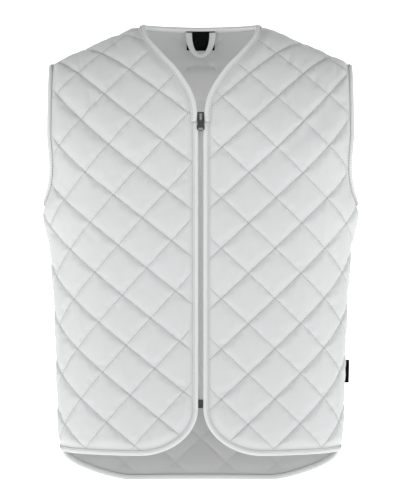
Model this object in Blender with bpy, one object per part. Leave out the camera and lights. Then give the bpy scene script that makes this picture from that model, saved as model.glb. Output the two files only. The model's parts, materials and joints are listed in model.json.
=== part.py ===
"""Quilted thermal work gilet: sleeveless, collarless, V neck, front zip, long rounded tail.

Units are metres, +Z is up and the front faces -Y. The wearer's left is +X. The origin is the middle
of the line between the neck ends of the two shoulder seams. Each panel is a padded wall on a middle
surface that is measured as flat cloth: "across" runs round the body from the middle, and "down" is
the depth below the origin, which becomes distance along the cloth where the shoulder curves over.
"""

import math

import bmesh
import bpy
import numpy as np
from mathutils import Vector
from mathutils.geometry import delaunay_2d_cdt

# Overall sizes
HALF_CHEST = 0.246
FRONT_DEPTH = 0.122
BACK_DEPTH = 0.112
FRONT_LENGTH = 0.671
TAIL_DROP = 0.056
TAIL_FLAT = 0.115
SIDE_HEM_RISE = 0.002

# Shoulders and neck
SHOULDER_SLOPE = 0.44
SHOULDER_ROUNDING = 0.03
SHOULDER_HEIGHT = 0.20
SHOULDER_HALF_WIDTH = 0.2385
SHOULDER_OVERHANG = 0.0235
NECK_HALF_WIDTH = 0.0875
NECK_DROP = 0.1433
BACK_NECK_RISE = 0.001

# Armholes
ARMHOLE_DEPTH = 0.277
ARMHOLE_CURVE_HEIGHT = 0.100

# Lower front corners
CORNER_WIDTH = 0.096
CORNER_HEIGHT = 0.074

# Quilting: diamonds, their padding and the sewn thickness
DIAMOND_WIDTH = 0.0836
DIAMOND_HEIGHT = 0.0773
RIGHT_QUILT_TURN = math.radians(4.5)
OUTER_PUFF = 0.0036
INNER_PUFF = 0.0020
SEWN_THICKNESS = 0.0016
PUFF_EDGE = 0.014
OUTER_CELLS = 3
INNER_CELLS = 2

# Edge tape
TAPE_WALL = 0.0010
NECK_TAPE_WIDTH = 0.0085
FRONT_TAPE_WIDTH = 0.0077
ARMHOLE_TAPE_WIDTH = 0.0085
TAIL_TAPE_WIDTH = 0.0080

# Zip
ZIP_HALF_GAP = 0.0040
SLIDER_HALF_GAP = 0.0055
ZIP_TAPE_WIDTH = 0.0135
ZIP_TAPE_THICKNESS = 0.0008
COIL_WIDTH = 0.0022
COIL_THICKNESS = 0.0022
SLIDER_WIDTH = 0.0104
SLIDER_LENGTH = 0.0146
SLIDER_PLATE = 0.0010
DIVIDER_LENGTH = 0.0036
DIVIDER_WIDTH = 0.0026
BRIDGE_WIDTH = 0.0032
BRIDGE_LENGTH = 0.0072
BRIDGE_THICKNESS = 0.0012
PIVOT_BELOW_SLIDER_TOP = 0.0103
PULL_LENGTH = 0.0193
PULL_WIDTH = 0.0120
PULL_NECK_WIDTH = 0.0080
PULL_THICKNESS = 0.0012
PULL_WINDOW = 0.0046
BOX_WIDTH = 0.0078
BOX_LENGTH = 0.0125

# Labels and hanging loop
LABEL_WIDTH = 0.044
LABEL_HEIGHT = 0.036
LABEL_THICKNESS = 0.0006
LOOP_WIDTH = 0.034
LOOP_HEIGHT = 0.040
LOOP_TAPE_WIDTH = 0.0060
LOOP_TAPE_THICKNESS = 0.0010
LOOP_STAND_OFF = 0.0085
SIDE_LABEL_LEVEL = 0.546
SIDE_LABEL_HEIGHT = 0.036
SIDE_LABEL_DEPTH = 0.0095
SIDE_LABEL_THICKNESS = 0.0012

# Clearances between pieces
GAP = 0.0003
SEAM_GAP = 0.0003
SEAM_ALLOWANCE = 0.0005
TAPE_EASE = 0.0005
SLIDER_PLAY = 0.0006
NEAR_SEAM = 0.003

# Spacing of the sections along seams and edge tape
STATION = 0.022
STRAIGHT_STATION = 0.048

# Roundness of the level sections: 2 is an ellipse, more is squarer
SECTION_POWER = 2.4

# Powers that shape the tail's rise, the armhole's foot, the padding and the hanging loop
TAIL_POWER = 1.45
ARMHOLE_POWER = 0.9
PILLOW_POWER = 0.5
LOOP_POWER = 0.75

# Points on a drawn curve before it is divided evenly, and the room that the quilt's mesh leaves
# beside the padded area's rim, as a share of a cell
CURVE_POINTS = 80
RIM_ROOM = 0.28

FRONT = -1
BACK = 1

# Girth: level as a share of FRONT_LENGTH, half width as a share of HALF_CHEST,
# front and back depth as shares of FRONT_DEPTH and BACK_DEPTH
GIRTH = (
    # level, width, front, back
    (0.412, 1.000, 1.00, 1.00),
    (0.455, 0.985, 1.00, 1.00),
    (0.530, 0.951, 0.99, 0.98),
    (0.625, 0.930, 0.97, 0.96),
    (0.745, 0.915, 0.96, 0.95),
    (0.890, 0.904, 0.96, 0.97),
    (1.000, 0.892, 0.97, 0.99),
    (1.090, 0.886, 0.98, 1.00),
)

# V neck from the shoulder seam to the slider, seen from the front: share of the neck's half width
# beyond the slider gap, and share of NECK_DROP
NECKLINE = (
    # across, down
    (1.000, 0.000),
    (0.936, 0.144),
    (0.758, 0.276),
    (0.583, 0.391),
    (0.420, 0.488),
    (0.277, 0.600),
    (0.139, 0.726),
    (0.046, 0.851),
    (0.000, 1.000),
)

# Long folds of the worn cloth: side, place across as a share of HALF_CHEST, level as a share of
# FRONT_LENGTH, run direction in degrees from level, half length and half width as shares of
# HALF_CHEST, and height as a share of OUTER_PUFF, negative where it dents
FOLDS = (
    # side, across, level, turn, half_length, half_width, height
    (BACK, 0.00, 0.075, 0, 0.42, 0.040, -0.8),
    (FRONT, 1.02, 0.440, 0, 0.20, 0.100, 0.5),
    (FRONT, -1.02, 0.440, 0, 0.20, 0.100, 0.5),
    (BACK, 1.02, 0.440, 0, 0.20, 0.100, 0.5),
    (BACK, -1.02, 0.440, 0, 0.20, 0.100, 0.5),
    (FRONT, -0.62, 0.270, -38, 0.40, 0.050, -0.5),
    (FRONT, 0.62, 0.270, 38, 0.40, 0.050, -0.5),
)

# Quilt grids: the panel's side, the place of one crossing as shares of HALF_CHEST and FRONT_LENGTH,
# and the turn of the grid
QUILT_GRIDS = {
    # panel: side, across, level, turn
    "front_panel_right": (FRONT, -0.546, 0.402, RIGHT_QUILT_TURN),
    "front_panel_left": (FRONT, 0.470, 0.409, 0.0),
    "back_panel": (BACK, 0.000, 0.406, 0.0),
}

# Values that follow from the sizes above
HALF_SEWN = SEWN_THICKNESS / 2
SHOULDER_SPREAD = SHOULDER_HALF_WIDTH + SHOULDER_OVERHANG
TAPE_INNER = HALF_SEWN + TAPE_EASE
TAPE_OUTER = TAPE_INNER + TAPE_WALL
PANEL_INSET = TAPE_WALL + GAP
ZIP_TAPE_FRONT = -TAPE_OUTER - 2 * GAP
ZIP_TAPE_BACK = ZIP_TAPE_FRONT - ZIP_TAPE_THICKNESS
COIL_BACK = ZIP_TAPE_FRONT + GAP
COIL_FRONT = COIL_BACK + COIL_THICKNESS
PLATE_BACK = COIL_FRONT + SLIDER_PLAY
PLATE_FRONT = PLATE_BACK + SLIDER_PLATE
PIVOT_OUT = max(TAPE_OUTER, PLATE_FRONT) + 1.3 * GAP + PULL_THICKNESS / 2
SLIDER_TOP = NECK_DROP
SLIDER_BOTTOM = SLIDER_TOP + SLIDER_LENGTH
PIVOT_LEVEL = SLIDER_TOP + PIVOT_BELOW_SLIDER_TOP
ZIP_BOTTOM = FRONT_LENGTH - CORNER_HEIGHT


# Curves and tables

def smooth_interp(x, xs, ys):
    """Cubic through the rows of a table, with slopes taken from the rows on both sides."""
    xs = np.asarray(xs, float)
    ys = np.asarray(ys, float)
    x = np.clip(x, xs[0], xs[-1])
    slopes = np.gradient(ys, xs)
    i = np.clip(np.searchsorted(xs, x) - 1, 0, len(xs) - 2)
    width = xs[i + 1] - xs[i]
    t = (x - xs[i]) / width
    rise = t * t * (3 - 2 * t)
    lead = t * (1 - t) ** 2 * slopes[i] * width
    trail = t * t * (t - 1) * slopes[i + 1] * width
    return ys[i] * (1 - rise) + ys[i + 1] * rise + lead + trail


def smoothstep(t):
    """0 below 0, 1 above 1, with level ends."""
    t = np.clip(t, 0.0, 1.0)
    return t * t * (3 - 2 * t)


def arc_table(xs, ys):
    """Share of a curve's length at each of its points."""
    steps = np.hypot(np.diff(xs), np.diff(ys))
    total = np.concatenate(([0.0], np.cumsum(steps)))
    return total / total[-1]


ANGLES = np.linspace(0.0, math.pi / 2, 1201)
SECTION_X = np.sin(ANGLES) ** (2 / SECTION_POWER)
SECTION_Y = np.cos(ANGLES) ** (2 / SECTION_POWER)
SECTION_SHARE = arc_table(SECTION_X * HALF_CHEST, SECTION_Y * FRONT_DEPTH)
PROFILE_SHARE = arc_table(np.sin(ANGLES) * FRONT_DEPTH, np.cos(ANGLES) * SHOULDER_HEIGHT)


def quarter_section_length(width, depth):
    """Length of a quarter of a level section, from the middle to the side."""
    x = np.multiply.outer(width, SECTION_X[::12])
    y = np.multiply.outer(depth, SECTION_Y[::12])
    return np.hypot(np.diff(x, axis=-1), np.diff(y, axis=-1)).sum(axis=-1)


def quarter_ellipse_length(a, b):
    """Ramanujan's formula for a quarter of an ellipse."""
    return math.pi / 4 * (3 * (a + b) - np.sqrt((3 * a + b) * (a + 3 * b)))


# Middle surface of the cloth

def girth(side, down):
    """Half width and depth of the body at a level."""
    table = np.array(GIRTH)
    level = np.asarray(down, float) / FRONT_LENGTH
    width = HALF_CHEST * smooth_interp(level, table[:, 0], table[:, 1])
    spread_end = ARMHOLE_DEPTH - ARMHOLE_CURVE_HEIGHT
    blend = smoothstep((down - spread_end) / ARMHOLE_CURVE_HEIGHT)
    width = SHOULDER_SPREAD * (1 - blend) + width * blend
    depth = FRONT_DEPTH if side == FRONT else BACK_DEPTH
    column = 2 if side == FRONT else 3
    return width, depth * smooth_interp(level, table[:, 0], table[:, column])


def ridge_height(x):
    """Height of the shoulder line at a distance from the middle: 0 at the neck, lower outwards."""
    rounded = np.sqrt(np.square(x) + SHOULDER_ROUNDING ** 2)
    at_neck = math.hypot(NECK_HALF_WIDTH, SHOULDER_ROUNDING)
    return SHOULDER_SLOPE * (at_neck - rounded)


def cloth(side, across, down):
    """Point of the middle surface.

    A level section is a quarter superellipse walked by its length. Above, each place across falls
    from the shoulder line on a quarter ellipse, walked by its length too, and then hangs straight.
    """
    across = np.asarray(across, float)
    down = np.asarray(down, float)
    width, depth = girth(side, down)
    share = np.clip(np.abs(across) / quarter_section_length(width, depth), 0, 1)
    x = np.sign(across) * width * np.interp(share, SECTION_SHARE, SECTION_X)
    reach = depth * np.interp(share, SECTION_SHARE, SECTION_Y)
    ridge = ridge_height(x)
    arc = quarter_ellipse_length(reach, SHOULDER_HEIGHT)
    walked = np.maximum(down + ridge + arc - SHOULDER_HEIGHT, 0)
    angle = np.interp(np.clip(walked / arc, 0, 1), PROFILE_SHARE, ANGLES)
    y = side * reach * np.sin(angle)
    z = ridge - SHOULDER_HEIGHT * (1 - np.cos(angle)) - np.maximum(walked - arc, 0)
    return np.stack([x, y, z], axis=-1)


def cloth_normal(side, across, down):
    """Outward unit normal of the middle surface, from small steps towards the panel's inside."""
    step = 2e-4
    inward = np.where(np.asarray(across) >= 0, -step, step)
    here = cloth(side, across, down)
    along = (here - cloth(side, across + inward, down)) * np.sign(-inward)[..., None]
    fall = cloth(side, across, down + step) - here
    normal = np.cross(along, fall) * side
    return normal / np.linalg.norm(normal, axis=-1, keepdims=True)


def flat_place(side, x, z):
    """Cloth coordinates of the place seen at x, z from the front or back."""
    x = np.asarray(x, float)
    down = -np.asarray(z, float)
    for _ in range(12):
        width, depth = girth(side, down)
        share = np.interp(np.clip(np.abs(x) / width, 0, 1), SECTION_X, SECTION_SHARE)
        reach = depth * np.interp(share, SECTION_SHARE, SECTION_Y)
        ridge = ridge_height(x)
        arc = quarter_ellipse_length(reach, SHOULDER_HEIGHT)
        fallen = np.maximum(ridge - z, 0)
        angle = np.arccos(np.clip(1 - fallen / SHOULDER_HEIGHT, 0, 1))
        walked = arc * np.interp(angle, ANGLES, PROFILE_SHARE)
        walked = walked + np.maximum(fallen - SHOULDER_HEIGHT, 0)
        down = walked - ridge - arc + SHOULDER_HEIGHT
    across = np.sign(x) * share * quarter_section_length(width, depth)
    return across, down


def side_across(side, down):
    """Place across of the side seam at a level."""
    return quarter_section_length(*girth(side, down))


# Edges of the panels, as cloth coordinates on the +X half

def resample(points, spacing):
    """Points at even distances along a polyline, with both its ends."""
    points = np.asarray(points, float)
    steps = np.linalg.norm(np.diff(points, axis=0), axis=1)
    walked = np.concatenate(([0.0], np.cumsum(steps)))
    count = max(2, int(round(walked[-1] / spacing)) + 1)
    places = np.linspace(0, walked[-1], count)
    return np.stack([np.interp(places, walked, points[:, k]) for k in range(points.shape[1])], axis=1)


def front_neck_edge():
    """Free edge of the V neck from the shoulder seam down to the slider's foot."""
    table = np.array(NECKLINE)
    rows = np.linspace(0, 1, 160)
    key = arc_table(table[:, 0] * NECK_HALF_WIDTH, table[:, 1] * NECK_DROP)
    x = SLIDER_HALF_GAP + (NECK_HALF_WIDTH - SLIDER_HALF_GAP) * smooth_interp(rows, key, table[:, 0])
    z = -NECK_DROP * smooth_interp(rows, key, table[:, 1])
    across, down = flat_place(FRONT, x, z)
    foot = np.array([[SLIDER_HALF_GAP, SLIDER_BOTTOM]])
    return resample(np.concatenate([np.stack([across, down], axis=1), foot]), STATION)


def back_neck_edge():
    """Free edge of the back neck from the middle to the shoulder seam."""
    x = np.linspace(0, NECK_HALF_WIDTH, CURVE_POINTS)
    z = BACK_NECK_RISE * (1 - (x / NECK_HALF_WIDTH) ** 2)
    across, down = flat_place(BACK, x, np.minimum(z, ridge_height(x)))
    return resample(np.stack([across, down], axis=1), STATION * 0.8)


def zip_edge():
    """Free edge of the front from the slider's foot to the corner, narrowing below the slider."""
    ease = 4 * (SLIDER_HALF_GAP - ZIP_HALF_GAP) + GAP
    top = [SLIDER_HALF_GAP, SLIDER_BOTTOM]
    narrow = [ZIP_HALF_GAP, SLIDER_BOTTOM + ease]
    straight = resample([narrow, [ZIP_HALF_GAP, ZIP_BOTTOM]], STRAIGHT_STATION)
    return np.concatenate([[top], straight])


def front_hem_edge():
    """Free edge round the lower corner and along the front hem to the side seam."""
    angles = np.linspace(0, math.pi / 2, 60)
    corner_x = ZIP_HALF_GAP + CORNER_WIDTH * (1 - np.cos(angles))
    corner_down = ZIP_BOTTOM + CORNER_HEIGHT * np.sin(angles)
    corner = resample(np.stack([corner_x, corner_down], axis=1), STATION * 0.8)
    side_down = FRONT_LENGTH - SIDE_HEM_RISE
    share = np.linspace(0, 1, 40)
    start = corner[-1, 0]
    across = start + (side_across(FRONT, side_down) - start) * share
    down = FRONT_LENGTH - SIDE_HEM_RISE * share ** 2
    return np.concatenate([corner, resample(np.stack([across, down], axis=1), STATION)[1:]])


def tail_edge():
    """Free edge of the back hem from the middle to the side seam."""
    side_down = FRONT_LENGTH - SIDE_HEM_RISE
    end = side_across(BACK, side_down)
    across = np.linspace(0, end, CURVE_POINTS)
    rise = np.clip((across - TAIL_FLAT) / (end - TAIL_FLAT), 0, 1) ** TAIL_POWER
    down = FRONT_LENGTH + TAIL_DROP - (TAIL_DROP + SIDE_HEM_RISE) * rise
    return resample(np.stack([across, down], axis=1), STATION)


def armhole_edge(side):
    """Free edge of the armhole from the shoulder seam down to the side seam."""
    turn_level = ARMHOLE_DEPTH - ARMHOLE_CURVE_HEIGHT
    x = np.full(60, SHOULDER_HALF_WIDTH)
    tip = float(ridge_height(SHOULDER_HALF_WIDTH))
    z = np.linspace(tip, -turn_level, 60)
    across, down = flat_place(side, x, z)
    open_end = side_across(side, down[-1]) - across[-1]
    angles = np.linspace(0, math.pi / 2, 60)[1:]
    lower = down[-1] + (ARMHOLE_DEPTH - down[-1]) * np.sin(angles)
    lower_across = side_across(side, lower) - open_end * np.cos(angles) ** ARMHOLE_POWER
    upper = np.stack([across, down], axis=1)
    return resample(np.concatenate([upper, np.stack([lower_across, lower], axis=1)]), STATION)


def shoulder_direction(side, across):
    """Unit step along the shoulder seam, towards +across, in cloth coordinates."""
    x = np.array([across - 0.002, across + 0.002])
    places = np.stack(flat_place(side, x, ridge_height(x)), axis=1)
    step = places[1] - places[0]
    return step / np.linalg.norm(step)


def inward_steps(edge, first, last, flip):
    """Unit steps from a free edge into its panel.

    Between the ends they are square to the edge. The end ones follow the seam or line that the
    edge stops at, so that the tape's end lies in that seam's plane.
    """
    tangent = np.gradient(edge, axis=0)
    tangent /= np.linalg.norm(tangent, axis=1, keepdims=True)
    steps = np.stack([-tangent[:, 1], tangent[:, 0]], axis=1) * flip
    steps[0] = first
    steps[-1] = last
    return steps


class Edge:
    """A free edge with its inward steps, tape width and side of the body."""

    def __init__(self, side, edge, steps, width):
        self.side = side
        self.edge = np.asarray(edge)
        self.steps = np.asarray(steps)
        self.width = width

    def place(self, inset):
        return self.edge + self.steps * inset

    def mirrored(self):
        flip = np.array([-1.0, 1.0])
        return Edge(self.side, self.edge * flip, self.steps * flip, self.width)

    def reversed(self):
        return Edge(self.side, self.edge[::-1], self.steps[::-1], self.width)


def free_edges():
    """All free edges of the +X half, each from its upper or middle end."""
    down = np.array([0.0, 1.0])
    out = np.array([1.0, 0.0])
    neck = front_neck_edge()
    back_neck = back_neck_edge()
    front = np.concatenate([zip_edge(), front_hem_edge()[1:]])
    tail = tail_edge()
    edges = {
        "neck": Edge(FRONT, neck, inward_steps(
            neck, shoulder_direction(FRONT, NECK_HALF_WIDTH), out, -1), NECK_TAPE_WIDTH),
        "back_neck": Edge(BACK, back_neck, inward_steps(
            back_neck, down, shoulder_direction(BACK, NECK_HALF_WIDTH), 1), NECK_TAPE_WIDTH),
        "front": Edge(FRONT, front, inward_steps(front, out, -down, -1), FRONT_TAPE_WIDTH),
        "tail": Edge(BACK, tail, inward_steps(tail, -down, -down, -1), TAIL_TAPE_WIDTH),
    }
    for side, name in ((FRONT, "front_armhole"), (BACK, "back_armhole")):
        edge = armhole_edge(side)
        steps = inward_steps(edge, -shoulder_direction(side, SHOULDER_HALF_WIDTH), down, 1)
        edges[name] = Edge(side, edge, steps, ARMHOLE_TAPE_WIDTH)
    return edges


# Quilting

def quilt_lines(name, across, down):
    """The two counts of stitch lines at a place: whole numbers lie on a line."""
    _, base_across, base_level, turn = QUILT_GRIDS[name]
    u = across - base_across * HALF_CHEST
    v = down - base_level * FRONT_LENGTH
    turned_u = (u * math.cos(turn) - v * math.sin(turn)) / DIAMOND_WIDTH
    turned_v = (u * math.sin(turn) + v * math.cos(turn)) / DIAMOND_HEIGHT
    return turned_u + turned_v, turned_u - turned_v


def quilt_place(name, first, second):
    """Cloth coordinates of a pair of line counts."""
    _, base_across, base_level, turn = QUILT_GRIDS[name]
    u = (first + second) / 2 * DIAMOND_WIDTH
    v = (first - second) / 2 * DIAMOND_HEIGHT
    across = u * math.cos(turn) + v * math.sin(turn) + base_across * HALF_CHEST
    down = v * math.cos(turn) - u * math.sin(turn) + base_level * FRONT_LENGTH
    return across, down


def pillow(name, across, down):
    """Share of the padding's full height: 0 on the stitch lines, 1 in the middle of a diamond."""
    first, second = quilt_lines(name, across, down)
    wave = np.abs(np.sin(math.pi * first) * np.sin(math.pi * second))
    return wave ** PILLOW_POWER


def fold_height(side, across, down):
    """Height of the long folds at a place."""
    height = np.zeros_like(across)
    for fold_side, place, level, turn, half_length, half_width, share in FOLDS:
        if fold_side != side:
            continue
        u = across - place * HALF_CHEST
        v = down - level * FRONT_LENGTH
        angle = math.radians(turn)
        run = (u * math.cos(angle) - v * math.sin(angle)) / (half_length * HALF_CHEST)
        off = (u * math.sin(angle) + v * math.cos(angle)) / (half_width * HALF_CHEST)
        height += share * OUTER_PUFF * np.exp(-run ** 4 - off ** 2)
    return height


# Panels

def distance_to_path(points, path):
    """Shortest distance from each point to a closed polyline."""
    starts = path
    ends = np.roll(path, -1, axis=0)
    run = ends - starts
    offset = points[:, None, :] - starts[None]
    share = np.clip((offset * run).sum(-1) / np.maximum((run * run).sum(-1), 1e-12), 0, 1)
    return np.linalg.norm(offset - share[..., None] * run, axis=-1).min(axis=1)


def inside_path(points, path):
    """True for each point inside a closed polyline, by counting crossings."""
    x, y = points[:, 0, None], points[:, 1, None]
    x1, y1 = path[:, 0], path[:, 1]
    x2, y2 = np.roll(x1, -1), np.roll(y1, -1)
    spans = (y1 > y) != (y2 > y)
    rise = np.where(y2 == y1, 1.0, y2 - y1)
    crossing = x < (x2 - x1) * (y - y1) / rise + x1
    return (spans & crossing).sum(axis=1) % 2 == 1


def seam_points(side):
    """Places down the side seam between the edge tapes."""
    top = ARMHOLE_DEPTH + 2 * ARMHOLE_TAPE_WIDTH
    bottom = FRONT_LENGTH - 2 * max(FRONT_TAPE_WIDTH, TAIL_TAPE_WIDTH)
    down = resample([[0, top], [0, bottom]], STRAIGHT_STATION)[:, 1]
    return np.stack([side_across(side, down), down], axis=1)


def shoulder_points(side):
    """Places along the shoulder seam between the edge tapes, from the neck outwards."""
    start = NECK_HALF_WIDTH + 2 * NECK_TAPE_WIDTH
    end = SHOULDER_HALF_WIDTH - 2 * ARMHOLE_TAPE_WIDTH
    x = resample([[start, 0], [end, 0]], STATION)[:, 0]
    return np.stack(flat_place(side, x, ridge_height(x)), axis=1)


def below_ridge(side, across, down):
    """Distance along the cloth below the shoulder line."""
    width, depth = girth(side, down)
    share = np.clip(np.abs(across) / quarter_section_length(width, depth), 0, 1)
    x = width * np.interp(share, SECTION_SHARE, SECTION_X)
    reach = depth * np.interp(share, SECTION_SHARE, SECTION_Y)
    return down + ridge_height(x) + quarter_ellipse_length(reach, SHOULDER_HEIGHT) - SHOULDER_HEIGHT


def snapped(places, side, margin):
    """Moves places that lie on a seam to this margin inside it."""
    places = np.array(places, float)
    across, down = places[:, 0], places[:, 1]
    limit = side_across(side, down)
    on_side = (down > ARMHOLE_DEPTH - NEAR_SEAM) & (np.abs(across) > limit - NEAR_SEAM)
    places[:, 0] = np.where(on_side, np.sign(across) * (limit - margin), across)
    walked = below_ridge(side, across, down)
    on_shoulder = (walked < NEAR_SEAM) & (down < ARMHOLE_DEPTH / 2)
    on_shoulder &= np.abs(across) > NECK_HALF_WIDTH - 2 * PANEL_INSET
    places[:, 1] = np.where(on_shoulder, down - walked + margin, down)
    return places


def front_outline(edges, inset, margin):
    """Closed outline of the +X front panel, this far in from its free edges and seams."""
    neck = edges["neck"].place(inset(edges["neck"]))
    front = edges["front"].place(inset(edges["front"]))
    arm = edges["front_armhole"].place(inset(edges["front_armhole"]))[::-1]
    parts = [neck[:-1], front, seam_points(FRONT)[::-1], arm, shoulder_points(FRONT)[::-1]]
    return snapped(np.concatenate(parts), FRONT, margin)


def back_outline(edges, inset, margin):
    """Closed outline of the back panel, both halves, this far in from its free edges and seams."""
    neck = edges["back_neck"].place(inset(edges["back_neck"]))
    arm = edges["back_armhole"].place(inset(edges["back_armhole"]))
    tail = edges["tail"].place(inset(edges["tail"]))
    parts = [neck, shoulder_points(BACK), arm, seam_points(BACK), tail[::-1]]
    half = snapped(np.concatenate(parts), BACK, margin)
    return np.concatenate([half, half[-2:0:-1] * np.array([-1.0, 1.0])])


def panel_edge_inset(edge):
    """The cloth stops inside the fold of the tape."""
    return PANEL_INSET


def padding_inset(edge):
    """The padding starts where the tape ends."""
    return edge.width + GAP


def grid_places(name, outline, cells, clearance):
    """Points of the quilt grid inside the padded area, this many cells along each diamond's side."""
    reach = int(math.ceil(2.2 * (FRONT_LENGTH + TAIL_DROP) / min(DIAMOND_WIDTH, DIAMOND_HEIGHT)))
    counts = np.arange(-reach * cells, reach * cells + 1) / cells
    first, second = np.meshgrid(counts, counts)
    places = np.stack(quilt_place(name, first.ravel(), second.ravel()), axis=1)
    low = outline.min(axis=0)
    high = outline.max(axis=0)
    places = places[((places > low) & (places < high)).all(axis=1)]
    places = places[inside_path(places, outline)]
    return places[distance_to_path(places, outline) > clearance]


def skin(outline, ring, places):
    """Triangles over one face of a panel, through its outline, its padding's edge and the grid."""
    points = np.concatenate([outline, ring, places])
    count, inner = len(outline), len(ring)
    links = [(i, (i + 1) % count) for i in range(count)]
    links += [(count + i, count + (i + 1) % inner) for i in range(inner)]
    result = delaunay_2d_cdt([Vector(p) for p in points], links, [], 1, 1e-7)
    verts, faces = result[0], result[2]
    if len(verts) != len(points):
        raise ValueError("two points of a panel fall on each other")
    return points, [tuple(face) for face in faces]


def panel_surface(name, points, ring, face):
    """Points of a panel's outer (face 1) or inner (face -1) skin."""
    side = QUILT_GRIDS[name][0]
    across, down = points[:, 0], points[:, 1]
    depth = distance_to_path(points, ring)
    inside = inside_path(points, ring) | (depth < 1e-6)
    fade = smoothstep(depth / PUFF_EDGE) * inside
    puff = OUTER_PUFF if face > 0 else INNER_PUFF
    height = HALF_SEWN + puff * pillow(name, across, down) * fade
    middle = cloth(side, across, down)
    normal = cloth_normal(side, across, down)
    on_seam = np.abs(middle[:, 1]) < SEAM_GAP
    normal[on_seam, 1] = 0
    normal /= np.linalg.norm(normal, axis=1, keepdims=True)
    offset = face * height + fold_height(side, across, down) * fade
    surface = middle + normal * offset[:, None]
    surface[on_seam, 1] = side * SEAM_GAP / 2
    return surface


def panel(name, outline, ring):
    """A closed padded wall: outer and inner skin, joined round the outline."""
    outer_places = grid_places(name, ring, OUTER_CELLS, RIM_ROOM * DIAMOND_WIDTH / OUTER_CELLS)
    inner_places = grid_places(name, ring, INNER_CELLS, RIM_ROOM * DIAMOND_WIDTH / OUTER_CELLS)
    outer, outer_faces = skin(outline, ring, outer_places)
    inner, inner_faces = skin(outline, ring, inner_places)
    outer_3d = panel_surface(name, outer, ring, 1)
    inner_3d = panel_surface(name, inner, ring, -1)
    count = len(outer)
    faces = outer_faces + [tuple(count + i for i in reversed(face)) for face in inner_faces]
    rim = len(outline)
    for i in range(rim):
        j = (i + 1) % rim
        faces.append((i, j, count + j))
        faces.append((i, count + j, count + i))
    return mesh_object(name, np.concatenate([outer_3d, inner_3d]), faces)


def make_panels(edges):
    """Both fronts and the back."""
    objects = []
    mirror = np.array([-1.0, 1.0])
    outline = front_outline(edges, panel_edge_inset, 0.0)
    ring = front_outline(edges, padding_inset, SEAM_ALLOWANCE)
    objects.append(panel("front_panel_left", outline, ring))
    objects.append(panel("front_panel_right", outline * mirror, ring * mirror))
    back = back_outline(edges, panel_edge_inset, 0.0)
    back_ring = back_outline(edges, padding_inset, SEAM_ALLOWANCE)
    objects.append(panel("back_panel", back, back_ring))
    return objects


# Edge tape

def tape_profile(width):
    """U section: distance in from the free edge, and height from the cloth's middle."""
    bevel = 0.7 * TAPE_WALL
    outer = TAPE_OUTER
    inner = TAPE_INNER
    return (
        (0.0, -outer + bevel),
        (bevel, -outer),
        (width, -outer),
        (width, -inner),
        (TAPE_WALL, -inner),
        (TAPE_WALL, inner),
        (width, inner),
        (width, outer),
        (bevel, outer),
        (0.0, outer - bevel),
    )


def tape_sections(edge):
    """Each station's U section in space."""
    rows = []
    for inset, height in tape_profile(edge.width):
        place = snapped(edge.place(inset), edge.side, 0.0)
        middle = cloth(edge.side, place[:, 0], place[:, 1])
        normal = cloth_normal(edge.side, place[:, 0], place[:, 1])
        on_seam = np.abs(middle[:, 1]) < 1e-5
        normal[on_seam, 1] = 0
        normal /= np.linalg.norm(normal, axis=1, keepdims=True)
        rows.append(middle + normal * height)
    return np.stack(rows, axis=1)


def swept(name, sections, closed):
    """A solid through sections of equal count, its ends capped or joined."""
    stations, count = sections.shape[:2]
    faces = []
    last = stations if closed else stations - 1
    for i in range(last):
        k = (i + 1) % stations
        for j in range(count):
            m = (j + 1) % count
            faces.append((i * count + j, i * count + m, k * count + m, k * count + j))
    if not closed:
        faces.append(tuple(reversed(range(count))))
        faces.append(tuple((stations - 1) * count + j for j in range(count)))
    return mesh_object(name, sections.reshape(-1, 3), faces)


def shifted_end(sections, index, offset):
    """Moves one end section by a small vector, to open a gap at a butt joint."""
    sections = sections.copy()
    sections[index] += np.asarray(offset)
    return sections


def make_edge_tapes(edges):
    """Neck, front, tail and armhole tapes."""
    half_gap = GAP / 2
    right = edges["neck"].mirrored()
    left = edges["neck"]
    back_right = edges["back_neck"].mirrored()
    parts = [
        tape_sections(right.reversed()),
        tape_sections(back_right.reversed())[1:],
        tape_sections(edges["back_neck"])[1:],
        tape_sections(left)[1:],
    ]
    neck = np.concatenate(parts)
    neck = shifted_end(neck, 0, (0, 0, half_gap))
    neck = shifted_end(neck, -1, (0, 0, half_gap))
    objects = [swept("neck_binding", neck, False)]
    for name, edge, sign in (("left", edges["front"], 1), ("right", edges["front"].mirrored(), -1)):
        sections = tape_sections(edge)
        sections = shifted_end(sections, 0, (0, 0, -half_gap))
        sections = shifted_end(sections, -1, (0, -half_gap, 0))
        objects.append(swept("front_binding_" + name, sections, False))
        front = tape_sections(edges["front_armhole"] if sign > 0 else edges["front_armhole"].mirrored())
        back_edge = edges["back_armhole"] if sign > 0 else edges["back_armhole"].mirrored()
        back = tape_sections(back_edge.reversed())
        ring = np.concatenate([front, back[1:-1]])
        objects.append(swept("armhole_binding_" + name, ring, True))
    tail = np.concatenate([
        tape_sections(edges["tail"].mirrored().reversed()),
        tape_sections(edges["tail"])[1:],
    ])
    tail = shifted_end(tail, 0, (0, half_gap, 0))
    tail = shifted_end(tail, -1, (0, half_gap, 0))
    objects.append(swept("tail_binding", tail, False))
    return objects


# Zip

def zip_point(x, level, out):
    """Point on the zip: distance from the middle plane, level, and height out from the cloth."""
    middle = cloth(FRONT, np.array([1e-6]), np.array([level]))[0]
    normal = cloth_normal(FRONT, np.array([1e-6]), np.array([level]))[0]
    normal[0] = 0
    normal /= np.linalg.norm(normal)
    return np.array([x, middle[1] + normal[1] * out, middle[2] + normal[2] * out])


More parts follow.
